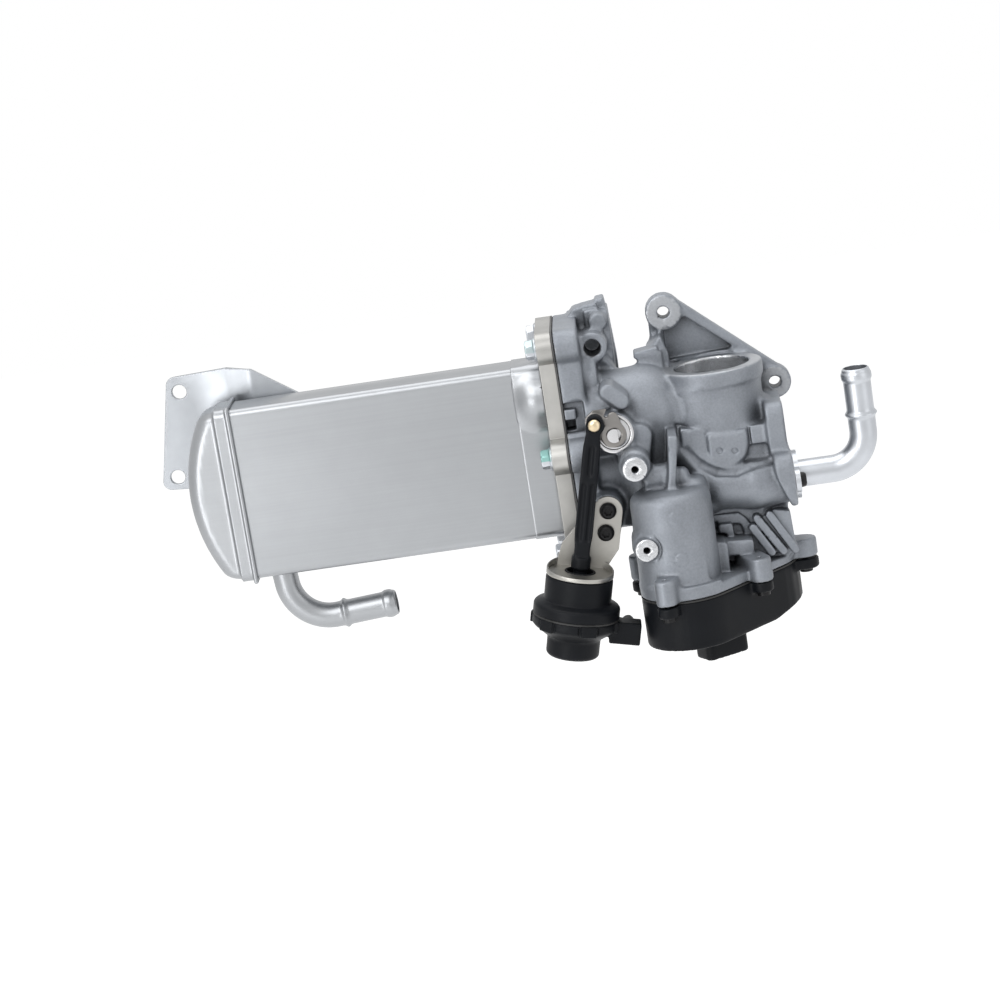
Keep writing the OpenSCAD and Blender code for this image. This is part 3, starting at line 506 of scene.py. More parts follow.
        self.shape_in(*shape.box(shape.melt + self.ROOM), distance, True, shape.melt)

    def at(self, points: Array) -> Array:
        """Returns the distance at points between samples, by trilinear weights.

        Args:
            points: Points, one row each.

        Returns:
            One distance per point.
        """
        p = points / self.voxel - self.low
        p = np.clip(p, 0, np.array(self.values.shape) - 1.001)
        i = p.astype(int)
        f = p - i
        total = np.zeros(len(p))
        for corner in np.ndindex(2, 2, 2):
            c = np.array(corner)
            weight = np.prod(np.where(c == 1, f, 1 - f), axis=1)
            total += weight * self.values[tuple((i + c).T)]
        return total

    def surface(self, adaptivity: float) -> Surface:
        """Returns the zero surface with normals from the field's slope.

        Args:
            adaptivity: 0 keeps every face, 1 merges most flat ones.

        Returns:
            The closed surface.
        """
        limit = float(np.abs(self.values).max())
        grid = vdb.FloatGrid(limit)
        grid.transform = vdb.createLinearTransform(voxelSize=self.voxel)
        grid.copyFromArray(np.ascontiguousarray(self.values), ijk=tuple(int(v) for v in self.low))
        points, tris, quads = grid.convertToPolygons(isovalue=0.0, adaptivity=adaptivity)
        points, tris, quads = points.astype(float), tris.astype(np.int32), quads.astype(np.int32)
        step = np.eye(3) * self.voxel
        slope = np.stack([self.at(points + s) - self.at(points - s) for s in step], -1)
        slope /= np.maximum(np.linalg.norm(slope, axis=1, keepdims=True), 1e-9)
        return Surface(points, quads, tris, slope)


def round_box(x: Array, y: Array, z: Array, centre: Sequence[float], half: Sequence[float],
              r: float) -> Array:
    """Distance to a box with rounded edges: |max(q, 0)| + min(max q, 0) - r.

    Args:
        x: Samples along X.
        y: Samples along Y.
        z: Samples along Z.
        centre: Centre of the box.
        half: Half sizes.
        r: Edge radius.

    Returns:
        Signed distance.
    """
    q = [np.abs(v - c) - (h - r) for v, c, h in zip((x, y, z), centre, half)]
    outside = np.sqrt(sum(np.maximum(v, 0) ** 2 for v in q))
    return outside + np.minimum(np.maximum(np.maximum(q[0], q[1]), q[2]), 0) - r


def melt(a: Array, b: Array, k: float) -> Array:
    """Distance to two solids that melt together over the width k.

    min(a, b) - max(k - |a - b|, 0)^2 / (4 k), or min(a, b) where k is 0

    Args:
        a: Distance to one solid.
        b: Distance to the other.
        k: Width of the melt.

    Returns:
        Signed distance.
    """
    near = np.minimum(a, b)
    return near - np.maximum(k - np.abs(a - b), 0) ** 2 / (4 * k) if k else near


def round_meet(a: Array, b: Array, r: float) -> Array:
    """Distance to the meeting of two solids with its edge rounded by r.

    min(max(a, b), -r) + |(max(a + r, 0), max(b + r, 0))|

    Args:
        a: Distance to one solid.
        b: Distance to the other.
        r: Edge radius.

    Returns:
        Signed distance.
    """
    return np.minimum(np.maximum(a, b), -r) + np.hypot(np.maximum(a + r, 0), np.maximum(b + r, 0))


@dataclass(frozen=True)
class Prism:
    """Flat outline carried along one axis, with rounded edges.

    The distance is meet(p(u, v), |w - m| - h, edge), where p is the signed
    distance to the outline, and m and h are the middle and half length.

    Attributes:
        corners: Outline in the two other axes, in their order.
        low: Start along the axis.
        high: End along the axis.
        edge: Radius of the end edges.
        corner: Radius of the outline's corners.
        axis: Number of the axis.
        melt: Width over which it melts into a solid.
    """

    corners: tuple[tuple[float, float], ...]
    low: float
    high: float
    edge: float = 0.8
    corner: float = 1.0
    axis: int = 1
    melt: float = 0.0

    def outline(self) -> Array:
        """Returns the outline with each corner rounded as in rounded_path."""
        p = np.asarray(self.corners, float)
        closed = np.concatenate([p[-1:], p, p[:1]])
        return rounded_path(closed, self.corner, 4)[1:-1] if self.corner else p

    def box(self, reach: float) -> tuple[Array, Array]:
        """Returns the lowest and highest corner of the room it needs.

        Args:
            reach: Room on every side.

        Returns:
            Both corners.
        """
        p = np.asarray(self.corners, float)
        low, high = np.insert(p.min(0), self.axis, self.low), np.insert(p.max(0), self.axis, self.high)
        return low - reach, high + reach

    def distance(self, x: Array, y: Array, z: Array) -> Array:
        """Returns the signed distance at the samples.

        Args:
            x: Samples along X.
            y: Samples along Y.
            z: Samples along Z.

        Returns:
            One value per sample.
        """
        u, v = [s for k, s in enumerate((x, y, z)) if k != self.axis]
        w = (x, y, z)[self.axis]
        p = self.outline()
        nearest, sign = np.inf, 1.0
        for a, b in zip(p, np.roll(p, 1, axis=0)):
            eu, ev = b - a
            du, dv = u - a[0], v - a[1]
            t = np.clip((du * eu + dv * ev) / max(eu * eu + ev * ev, 1e-12), 0, 1)
            nearest = np.minimum(nearest, (du - eu * t) ** 2 + (dv - ev * t) ** 2)
            above, below, left = v >= a[1], v < b[1], eu * dv > ev * du
            sign = np.where((above & below & left) | ~(above | below | left), -sign, sign)
        middle, half = (self.low + self.high) / 2, (self.high - self.low) / 2
        return round_meet(sign * np.sqrt(nearest), np.abs(w - middle) - half, self.edge)


@dataclass(frozen=True)
class Bar:
    """Round bar with flat ends: meet(|c| - r, |t - l/2| - l/2, edge).

    t runs along the bar from its start, and |c| is the distance to its axis.

    Attributes:
        start: Middle of one end.
        end: Middle of the other end.
        r: Radius.
        edge: Radius of the end edges.
        melt: Width over which it melts into a solid.
    """

    start: tuple[float, float, float]
    end: tuple[float, float, float]
    r: float
    edge: float = 0.4
    melt: float = 0.0

    def box(self, reach: float) -> tuple[Array, Array]:
        """Returns the lowest and highest corner of the room it needs.

        Args:
            reach: Room on every side.

        Returns:
            Both corners.
        """
        ends = np.array([self.start, self.end])
        return ends.min(0) - self.r - reach, ends.max(0) + self.r + reach

    def distance(self, x: Array, y: Array, z: Array) -> Array:
        """Returns the signed distance at the samples.

        Args:
            x: Samples along X.
            y: Samples along Y.
            z: Samples along Z.

        Returns:
            One value per sample.
        """
        p, q = np.array(self.start), np.array(self.end)
        length = np.linalg.norm(q - p)
        n = (q - p) / length
        dx, dy, dz = x - p[0], y - p[1], z - p[2]
        t = dx * n[0] + dy * n[1] + dz * n[2]
        away = np.sqrt(np.maximum(dx**2 + dy**2 + dz**2 - t**2, 0))
        return round_meet(away - self.r, np.abs(t - length / 2) - length / 2, self.edge)


def capsule(a: Sequence[float], ra: float, b: Sequence[float], rb: float) -> tuple[tuple[float, float], ...]:
    """Returns the outline round two circles and their outer tangents.

    Args:
        a: Centre of the first circle.
        ra: Its radius.
        b: Centre of the second circle.
        rb: Its radius.

    Returns:
        Corner points in order.
    """
    d = np.subtract(b, a)
    heading, lean = math.atan2(d[1], d[0]), math.acos((ra - rb) / np.linalg.norm(d))
    first = np.linspace(heading + lean, heading + 2 * np.pi - lean, 15)
    last = np.linspace(heading - lean, heading + lean, 15)
    pts = [(a[0] + ra * math.cos(t), a[1] + ra * math.sin(t)) for t in first]
    return tuple(pts + [(b[0] + rb * math.cos(t), b[1] + rb * math.sin(t)) for t in last])


class Graph:
    """Makes nodes and links of one node tree with a call each."""

    def __init__(self, tree: bpy.types.NodeTree) -> None:
        """Keeps the tree.

        Args:
            tree: Node tree to build in.
        """
        self.tree = tree

    def add(self, kind: str, feeds: dict[str | int, object] | None = None,
            **settings: object) -> bpy.types.Node:
        """Adds a node.

        Args:
            kind: Node type.
            feeds: Values or sockets for its inputs, by name or number.
            **settings: Properties of the node.

        Returns:
            The node.
        """
        node = self.tree.nodes.new(kind)
        for key, value in settings.items():
            setattr(node, key, value)
        for key, value in (feeds or {}).items():
            if isinstance(value, bpy.types.NodeSocket):
                self.tree.links.new(value, node.inputs[key])
            else:
                node.inputs[key].default_value = value
        return node

    def calc(self, operation: str, *values: object, clamp: bool = False) -> bpy.types.NodeSocket:
        """Adds a math node and returns its result.

        Args:
            operation: Math operation.
            *values: Its inputs, in order.
            clamp: Keeps the result between 0 and 1.

        Returns:
            The result's socket.
        """
        feeds = dict(enumerate(values))
        return self.add("ShaderNodeMath", feeds, operation=operation, use_clamp=clamp).outputs[0]

    def blend(self, factor: object, a: object, b: object) -> bpy.types.NodeSocket:
        """Adds a colour mix and returns its result.

        Args:
            factor: Share of b.
            a: First colour.
            b: Second colour.

        Returns:
            The result's socket.
        """
        node = self.add("ShaderNodeMix", {0: factor, 6: a, 7: b}, data_type="RGBA")
        return node.outputs[2]

    def span(self, value: object, low: float, high: float,
             to_low: float, to_high: float) -> bpy.types.NodeSocket:
        """Adds a clamped smooth map of a range and returns its result.

        Args:
            value: Input socket.
            low: Start of the input's range.
            high: End of the input's range.
            to_low: Result at the start.
            to_high: Result at the end.

        Returns:
            The result's socket.
        """
        feeds = {0: value, 1: low, 2: high, 3: to_low, 4: to_high}
        return self.add("ShaderNodeMapRange", feeds, interpolation_type="SMOOTHSTEP").outputs[0]


def wear_group() -> bpy.types.ShaderNodeTree:
    """Returns the shared surface effect: grain, broad tone, and streaks.

    Inputs are the coordinates, the grain's frequency per metre and the stretch
    of the streaks. Outputs are a height, a tone and a streak value from 0 to 1.

    Returns:
        The node group.
    """
    name = "surface_wear"
    if name in bpy.data.node_groups:
        return bpy.data.node_groups[name]
    tree = bpy.data.node_groups.new(name, "ShaderNodeTree")
    sockets = (("Coords", "NodeSocketVector"), ("Grain", "NodeSocketFloat"), ("Stretch", "NodeSocketVector"))
    for label, kind in sockets:
        tree.interface.new_socket(label, in_out="INPUT", socket_type=kind)
    for label in ("Height", "Tone", "Streak"):
        tree.interface.new_socket(label, in_out="OUTPUT", socket_type="NodeSocketFloat")
    g = Graph(tree)
    source = g.add("NodeGroupInput").outputs
    fine = g.add("ShaderNodeTexNoise", {
        "Vector": source[0], "Scale": source[1], "Detail": 3.0, "Roughness": 0.6})
    broad = g.add("ShaderNodeTexNoise", {
        "Vector": source[0], "Scale": 38.0, "Detail": 4.0, "Roughness": 0.55})
    pulled = g.add("ShaderNodeVectorMath", {0: source[0], 1: source[2]}, operation="MULTIPLY").outputs[0]
    streak = g.add("ShaderNodeTexNoise", {"Vector": pulled, "Scale": 1.0, "Detail": 2.0, "Roughness": 0.5})
    g.add("NodeGroupOutput", {0: fine.outputs[0], 1: g.span(broad.outputs[0], 0.3, 0.7, 0.0, 1.0),
                              2: g.span(streak.outputs[0], 0.3, 0.7, 0.0, 1.0)})
    return tree


@dataclass(frozen=True)
class Finish:
    """One material: a principled surface with grain, tone and streaks, and where set, painted shade in inner
    corners and deep recesses.

    Attributes:
        name: Material name.
        colour: Base colour, linear.
        rough: Mean roughness.
        metallic: Metal share.
        grain: Grain frequency per metre.
        bump: Grain height in millimetres.
        tone: Share by which the broad tone changes the colour.
        rough_span: Share by which tone and streaks change the roughness.
        stretch: Frequency of the streaks along each axis, per metre.
        streak: Share by which streaks change the colour.
        marked: Colour and roughness where the mark attribute is 1, if any.
        mark: Name of the mark attribute.
        edge: Gain in brightness on sharp outer edges.
        speck: Share by which the grain changes the colour.
        painted_crease_shade: Painted shade, a loss of brightness in inner corners.
        shade: Painted shade, a loss of brightness in deep recesses.
        gloss: Specular level of a non-metal.
    """

    name: str
    colour: tuple[float, float, float]
    rough: float
    metallic: float = 1.0
    grain: float = 1500.0
    bump: float = 0.02
    tone: float = 0.06
    rough_span: float = 0.12
    stretch: tuple[float, float, float] = (60.0, 60.0, 60.0)
    streak: float = 0.03
    marked: tuple[float, float, float, float] | None = None
    mark: str = ""
    edge: float = 0.0
    speck: float = 0.0
    painted_crease_shade: float = 0.0
    shade: float = 0.0
    gloss: float = 0.5

    def build(self) -> bpy.types.Material:
        """Makes the material.

        Returns:
            The material, with object coordinates and no image.
        """
        material = bpy.data.materials.new(self.name)
        material.use_nodes = True
        material.diffuse_color = (*self.colour, 1.0)
        tree = material.node_tree
        tree.nodes.clear()
        g = Graph(tree)
        coords = g.add("ShaderNodeTexCoord").outputs["Object"]
        wear = g.add("ShaderNodeGroup", {"Coords": coords, "Grain": self.grain, "Stretch": self.stretch},
                     node_tree=wear_group())
        height, tone, streak = wear.outputs
        gain = g.calc("ADD", g.calc("MULTIPLY", g.calc("SUBTRACT", tone, 0.5), 2 * self.tone),
                      g.calc("MULTIPLY", g.calc("SUBTRACT", streak, 0.5), 2 * self.streak))
        change = g.calc("MULTIPLY", g.calc("SUBTRACT", streak, tone), self.rough_span)
        rough = g.calc("MULTIPLY", g.calc("ADD", 1.0, change), self.rough)
        if self.speck:
            gain = g.calc("ADD", gain, g.calc("MULTIPLY", g.calc("SUBTRACT", height, 0.5), 4 * self.speck))
        colour: object = (*self.colour, 1.0)
        metal: object = self.metallic
        if self.marked is not None:
            share = g.add("ShaderNodeAttribute", attribute_name=self.mark).outputs["Fac"]
            colour = g.blend(share, colour, (*self.marked[:3], 1.0))
            rough = g.add("ShaderNodeMix", {0: share, 2: rough, 3: self.marked[3]}).outputs[0]
            metal = g.add("ShaderNodeMix", {0: share, 2: self.metallic, 3: 1.0}).outputs[0]
        # Lighter sharp outer edges, and painted shade in inner corners, both from the pointiness
        if self.edge:
            bend = g.add("ShaderNodeNewGeometry").outputs["Pointiness"]
            gain = g.calc("ADD", gain, g.span(bend, 0.5, 0.6, 0.0, self.edge))
            gain = g.calc("SUBTRACT", gain, g.span(bend, 0.42, 0.495, self.painted_crease_shade, 0.0))
        # Painted shade in deep recesses, from ambient occlusion
        if self.shade:
            open_sky = g.add("ShaderNodeAmbientOcclusion", {"Distance": RECESS * MM}, samples=6).outputs["AO"]
            gain = g.calc("SUBTRACT", gain, g.span(open_sky, 0.25, 0.85, self.shade, 0.0))
        base = colour if isinstance(colour, bpy.types.NodeSocket) else self.colour
        level = g.calc("ADD", 1.0, gain)
        shaded = g.add("ShaderNodeVectorMath", {0: base, "Scale": level}, operation="SCALE")
        bump = g.add("ShaderNodeBump", {"Height": height, "Distance": self.bump * MM, "Strength": 1.0})
        shader = g.add("ShaderNodeBsdfPrincipled", {
            "Base Color": shaded.outputs[0], "Roughness": rough, "Metallic": metal,
            "Specular IOR Level": self.gloss, "Normal": bump.outputs[0]})
        g.add("ShaderNodeOutputMaterial", {"Surface": shader.outputs[0]})
        return material


FINISHES: dict[Slot, Finish] = {
    # Stainless: its mark colour is a painted reflection on the top edge and temper tint at the header end
    Slot.STAINLESS: Finish(
        "stainless", (0.345, 0.356, 0.37), 0.36, bump=0.004, grain=2500, tone=0.02, rough_span=0.06,
        stretch=(8.0, 900.0, 900.0), streak=0.015, marked=(0.42, 0.41, 0.5, 0.3), mark="heat"),
    Slot.FLANGE: Finish("flange_plate", (0.4, 0.395, 0.38), 0.42, bump=0.02, grain=1800, tone=0.1),
    # Cast aluminium: painted shade in inner corners and deep recesses
    Slot.CAST: Finish(
        "cast_aluminium", (0.255, 0.274, 0.304), 0.48, 0.5, bump=0.14, grain=750, tone=0.08, rough_span=0.15,
        speck=0.1, marked=(0.52, 0.53, 0.545, 0.26), mark="machined", edge=0.12, painted_crease_shade=0.24, shade=0.6),
    Slot.ZINC: Finish(
        "plated_steel", (0.5, 0.52, 0.55), 0.34, bump=0.008, tone=0.05, streak=0.04,
        marked=(0.05, 0.33, 0.27, 0.5), mark="paint"),
    Slot.BLACK: Finish(
        "black_mould", (0.0055, 0.0065, 0.0085), 0.45, 0.0, bump=0.02, grain=2600, tone=0.15, gloss=0.14),
    Slot.SCREW: Finish("black_oxide", (0.008, 0.008, 0.009), 0.38, 0.2, bump=0.008, tone=0.1, gloss=0.3),
    Slot.RUBBER: Finish("rubber", (0.02, 0.02, 0.02), 0.6, 0.0, bump=0.02),
    Slot.GASKET: Finish("gasket", (0.1, 0.1, 0.1), 0.6, 0.4, bump=0.02),
    Slot.YELLOW: Finish("brass", (0.6, 0.5, 0.34), 0.32, bump=0.005),
    Slot.BRIGHT: Finish("turned_steel", (0.6, 0.6, 0.61), 0.26, bump=0.005),
    Slot.GEAR: Finish("gear_plastic", (0.08, 0.08, 0.085), 0.45, 0.0, bump=0.01),
}
BRACKET_SHEET = Finish("bracket_sheet", (0.34, 0.355, 0.375), 0.36, bump=0.008, tone=0.05, streak=0.04)
LEVER_STEEL = Finish("lever_steel", (0.24, 0.23, 0.22), 0.34, bump=0.01)
PRESSED_PLATE = Finish("pressed_plate", (0.4, 0.39, 0.365), 0.4, bump=0.01)


class Workshop:
    """Holds the materials and puts finished pieces on their bodies."""

    def __init__(self) -> None:
        """Builds one material for every slot."""
        self.materials = {slot: finish.build() for slot, finish in FINISHES.items()}

    def paint_frame(self) -> None:
        """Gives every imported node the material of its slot."""
        for part in frame["record"]["subparts"]:
            mesh = frame["nodes"][part["node"]].data
            mesh.materials.clear()
            mesh.materials.append(self.materials[Slot(part["material_slot"])])

    def fit(self, obj: bpy.types.Object, slot: Slot, body: Body, *nodes: str) -> bpy.types.Object:
        """Paints a piece, sets it on its body and hides what it stands for.

        Args:
            obj: The piece.
            slot: Its material slot.
            body: Body that it moves with.
            *nodes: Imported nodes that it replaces.

        Returns:
            The piece.
        """
        obj.data.materials.clear()
        obj.data.materials.append(self.materials[slot])
        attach(obj, body.value)
        if nodes:
            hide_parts(*nodes)
        LOG.info("%s: %d faces", obj.name, len(obj.data.polygons))
        return obj

    def refinish(self, finish: Finish, *pieces: bpy.types.Object) -> None:
        """Gives pieces a finish of their own in place of their slot's.

        Args:
            finish: The finish.
            *pieces: Fitted pieces.
        """
        material = finish.build()
        for piece in pieces:
            piece.data.materials[0] = material

    def bevelled(self, name: str, node: str, slot: Slot, body: Body, width: float) -> bpy.types.Object:
        """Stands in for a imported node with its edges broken.

        Args:
            name: Name of the piece.
            node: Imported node.
            slot: Material slot.
            body: Body that it moves with.
            width: Width of the bevel.

        Returns:
            The piece.
        """
        flat_deg, sharp_deg, bevel_deg = 0.6, 30.0, 32.0
        obj = cad_mesh(node).to_object(name, sharp_deg)
        merge = obj.modifiers.new("flat", "DECIMATE")
        merge.decimate_type = "DISSOLVE"
        merge.angle_limit = math.radians(flat_deg)
        bevel = obj.modifiers.new("bevel", "BEVEL")
        bevel.width = width * MM
        bevel.segments = 3
        bevel.limit_method = "ANGLE"
        bevel.angle_limit = math.radians(bevel_deg)
        bevel.harden_normals = True
        return self.fit(obj, slot, body, node)

    def softened(self, name: str, node: str, slot: Slot, body: Body, voxel: float, close: float, open_: float,
                 adaptivity: float = 0.05) -> bpy.types.Object:
        """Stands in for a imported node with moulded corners.

        Args:
            name: Name of the piece.
            node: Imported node.
            slot: Material slot.
            body: Body that it moves with.
            voxel: Sample distance.
            close: Radius of the inner corners.
            open_: Radius of the outer edges.
            adaptivity: Merging of flat faces.

        Returns:
            The piece.
        """
        obj = Field.from_solid(cad_mesh(node), voxel, close, open_).surface(adaptivity).to_object(name)
        return self.fit(obj, slot, body, node)


@dataclass
class CoolerBody:
    """Flat cooler: wrapped casing, pressed cap, header, flange and pipes.

    Attributes:
        seam_x: Place of the seam between casing and cap.
        head_x0: End of the casing at the header.
        head_x1: Face of the flange.
        centre_z: Height of the cooler's middle.
        half_h: Half height of the casing.
        half_t: Half thickness of the casing.
        corner_r: Corner radius of the casing.
        sheet: Sheet thickness.
        lap: Length by which casing and cap lap over each other.
        cap_r: Radius of the cap's disc.
        cap_x0: Far end of the cap.
        crown: Height of the casing's crown.
        voxel: Sample distance of the pressed shells.
        merging: Merging of flat faces on them.
        bolt_spots: Y and Z of the flange bolts.
    """

    seam_x: float = -280.0
    head_x0: float = -112.0
    head_x1: float = -98.0
    centre_z: float = -34.5
    half_h: float = 51.0
    half_t: float = 16.0
    corner_r: float = 4.0
    sheet: float = 1.2
    lap: float = 4.0
    cap_r: float = 95.0
    cap_x0: float = -312.5
    crown: float = 0.9
    voxel: float = 0.55
    merging: float = 0.03
    bolt_spots: tuple[tuple[float, float], ...] = (
        (-25.0, 27.7), (25.0, 27.7), (-32.5, -35.3), (32.5, -35.3), (-22.0, -94.0), (22.0, -94.0))

    def casing(self) -> Surface:
        """Wrapped sheet with a slight crown on its flat sides.

        Each quarter of the section is a flat and the corner arc after it,
        turned by 0, 90, 180 and 270 degrees. The point moves out by
        crown * sin(pi u) * (1 - t^2)^2, where u runs along the casing and t
        from -1 to 1 over each flat, with t = 1 on the arcs. The outer skin
        turns into the inner skin at both ends.

        Returns:
            The closed sheet, with a mark that is a painted reflection along its top edge and temper tint at
            the header end.
        """
        r = self.corner_r
        q = np.linspace(0, np.pi / 2, 9)
        wide, narrow = (self.half_t, self.half_h - r, 61), (self.half_h, self.half_t - r, 25)
        quarters = []
        for (reach, half, count), (c, s) in zip((wide, narrow) * 2, ((1, 0), (0, 1), (-1, 0), (0, -1))):
            t = np.linspace(-1, 1, count)[1:-1]
            out = np.concatenate([np.full_like(t, reach), reach - r + r * np.cos(q)])
            along = np.concatenate([half * t, half + r * np.sin(q)])
            out_n, along_n = np.concatenate([1 + 0 * t, np.cos(q)]), np.concatenate([0 * t, np.sin(q)])
            place = [c * out - s * along, s * out + c * along]
            normal = [c * out_n - s * along_n, s * out_n + c * along_n]
            quarters.append(np.stack([*place, *normal, np.concatenate([t, np.ones_like(q)])], -1))
        ring = np.concatenate(quarters)
        outer, inner = 81, 21
        u = np.concatenate([np.linspace(0, 1, outer), np.linspace(1, 0, inner)])
        inset = np.concatenate([np.zeros(outer), np.full(inner, self.sheet)])
        x = self.seam_x - self.lap + u * (self.head_x0 - self.seam_x + self.lap)
        out = self.crown * np.sin(np.pi * u)[:, None] * (1 - ring[:, 4] ** 2)[None] ** 2 - inset[:, None]
        y = ring[None, :, 0] + out * ring[None, :, 2]
        z = self.centre_z + ring[None, :, 1] + out * ring[None, :, 3]
        pts = np.stack([np.repeat(x[:, None], len(ring), 1), y, z], -1)
        surface = Surface(pts.reshape(-1, 3), grid_quads(*pts.shape[:2], closed=True))
        x, _, z = surface.verts.T
        # Painted reflection: a lighter, bluer strip along the top edge
        top = np.clip((z - self.centre_z - self.half_h + 2.5) / 3, 0, 1)
        # Temper tint near the header end
        end = np.exp(-((x - self.head_x0) / 9) ** 2) * 0.7
        surface.marks["heat"] = np.clip(0.8 * top + end, 0, 1)
        return surface

    def cap(self) -> Surface:
        """Pressed end cap: a round disc met by a slab, with soft edges.

        d = meet(|(x - xc, z - zc)| - R, |y| - t/2, 8), joined to a skirt round
        the casing and a bead at its seam; the shell is max(d, -d - sheet).

        Returns:
            The closed shell.
        """
        seam, mid, t, h = self.seam_x, self.centre_z, self.half_t, self.half_h
        dome_edge, end_edge, skirt_melt = 8.0, 5.0, 2.2
        skirt_x, skirt_gap, bead_half, bead_gap, long = 9.6, 0.9, 1.4, 2.2, 60
        f = Field.blank((self.cap_x0 - 3, -20, -92), (seam + 2, 20, 23), self.voxel)
        _, (x, y, z) = f.part(*Field.EVERYWHERE)
        disc = np.hypot(x - self.cap_x0 - self.cap_r, z - mid) - self.cap_r
        dome = round_meet(disc, np.abs(y) - (t - 0.4), dome_edge)
        dome = round_meet(dome, np.abs(z - mid) - (h - 0.6), end_edge)
        reach = (long, t + skirt_gap, h + skirt_gap)
        skirt = round_box(x, y, z, (seam, 0, mid), reach, self.corner_r + skirt_gap)
        solid = melt(dome, np.maximum(skirt, seam - skirt_x - x), skirt_melt)
        bead = round_box(x, y, z, (seam - bead_half, 0, mid), (bead_half, t + bead_gap, h + bead_gap), 1.3)
        inner = round_box(x, y, z, (seam, 0, mid), (long, t, h), self.corner_r)
        hollow = np.minimum(solid + self.sheet, np.maximum(inner, seam - self.lap - 0.2 - x))
        shell = np.maximum(np.minimum(solid, bead), -hollow)
        f.values = np.maximum(shell, x - seam).astype(np.float32)
        return f.surface(self.merging)

    def header(self) -> Surface:
        """Pressed header between casing and flange, with its round bulge.

        A rounded box and a turned bulge melt together over 5 mm; the shell is
        max(d, -d - sheet), cut flat at the flange.

        Returns:
            The closed shell.
        """
        x0, x1, mid, t, h = self.head_x0, self.head_x1, self.centre_z, self.half_t, self.half_h
        gap, slack, bulge_y, bulge_z, bulge_flat, bulge_r, bulge_melt = 0.6, 0.05, -6, -3, 9.5, 8.6, 5.0
        f = Field.blank((x0 - 12, -27, -90), (x1 + 1, 20, 22), self.voxel)
        _, (x, y, z) = f.part(*Field.EVERYWHERE)
        ring = round_box(x, y, z, (x1, 0, mid), (60.0, t + gap, h + gap), self.corner_r + 0.5)
        body = round_meet(ring, x0 - 3.5 - x, 0.5)
        reach = np.hypot(y - bulge_y, z - bulge_z)
        bulge = np.hypot(np.maximum(reach - bulge_flat, 0), np.maximum(x1 - 4 - x, 0) * 0.75) - bulge_r
        solid = np.maximum(melt(body, bulge, bulge_melt), x0 - x - self.lap)
        casing = round_box(x, y, z, (x0, 0, mid), (12, t + slack, h + slack), self.corner_r)
        inside = np.minimum(solid + self.sheet, casing)
        f.values = np.maximum(np.maximum(solid, x - x1), -inside).astype(np.float32)
        return f.surface(self.merging)

    def outlet(self) -> Surface:
        """Bent coolant outlet: it drops, turns through 90 degrees and runs out.

        Returns:
            The closed pipe wall.
        """
        start_z, bend_z, bend, run, r, bead, lean_deg, from_seam = 3.0, -8.5, 25.0, 36.0, 7.5, 5.0, -4.0, 13.5
        path = pipe_path(np.array([0, 0, start_z]), np.array([0, 0, bend_z]), bend, run)
        place = (self.seam_x + from_seam, 0, self.centre_z - self.half_h)
        return hose_pipe(path, r, run, bead).moved(about_y(lean_deg), place)

    def bolts(self) -> Surface:
        """Returns the flange bolts, with inspection paint on two heads."""
        bolt = hex_bolt(10.0, 4.9, 6.8, 1.6, 3.9, 22.0).moved(aim((-1, 0, 0)), (self.head_x1, 0, 0))
        bolts = Surface.join([bolt.moved(np.eye(3), (0, y, z)) for y, z in self.bolt_spots])
        x, y, z = bolts.verts.T
        head = np.clip(self.head_x1 - 0.4 - x, 0, 1)
        front = 0.6 * (np.abs(y + 32.5) < 7) * (np.abs(z + 32) < 3.6)
        upper = 0.2 * (y < -20) * (z > 27)
        bolts.marks["paint"] = head * np.maximum(front, upper)
        return bolts

    def build(self, shop: Workshop) -> None:
        """Makes the visible pieces of the cooler.

        Args:
            shop: Materials and fitting.
        """
        shop.fit(self.casing().to_object("casing_sheet"), Slot.STAINLESS, Body.HOUSING, "cooler_casing")
        shop.fit(self.cap().to_object("cap_shell"), Slot.STAINLESS, Body.HOUSING, "end_cap")
        shop.fit(self.header().to_object("header_shell"), Slot.STAINLESS, Body.HOUSING, "gas_header")
        shop.fit(self.outlet().to_object("outlet_pipe"), Slot.STAINLESS, Body.HOUSING, "coolant_outlet_pipe")
        shop.bevelled("flange_plate", "cooler_flange", Slot.FLANGE, Body.HOUSING, 0.7)
        bracket = shop.bevelled("support_bracket", "mounting_bracket", Slot.ZINC, Body.HOUSING, 0.6)
        shop.refinish(BRACKET_SHEET, bracket)
        shop.fit(self.bolts().to_object("hex_bolts", 35.0), Slot.ZINC, Body.HOUSING, "flange_bolts")


def pipe_path(start: Array, corner: Array, bend: float, run: float) -> Array:
    """Centre line in the XZ plane: down, a 90 degree bend to +X, and a straight run.

    Args:
        start: First point.
        corner: Point where the bend starts, straight below.
        bend: Bend radius.
        run: Length of the straight end.

    Returns:
        Points along the line.
    """
    drop = np.linspace(start, corner, 8, endpoint=False)
    a = np.linspace(0, np.pi / 2, 33)
    arc = corner + np.stack([bend * (1 - np.cos(a)), 0 * a, -bend * np.sin(a)], -1)
    straight = arc[-1] + np.linspace(0, run, 121)[1:, None] * np.array([1.0, 0, 0])
    return np.concatenate([drop, arc, straight])


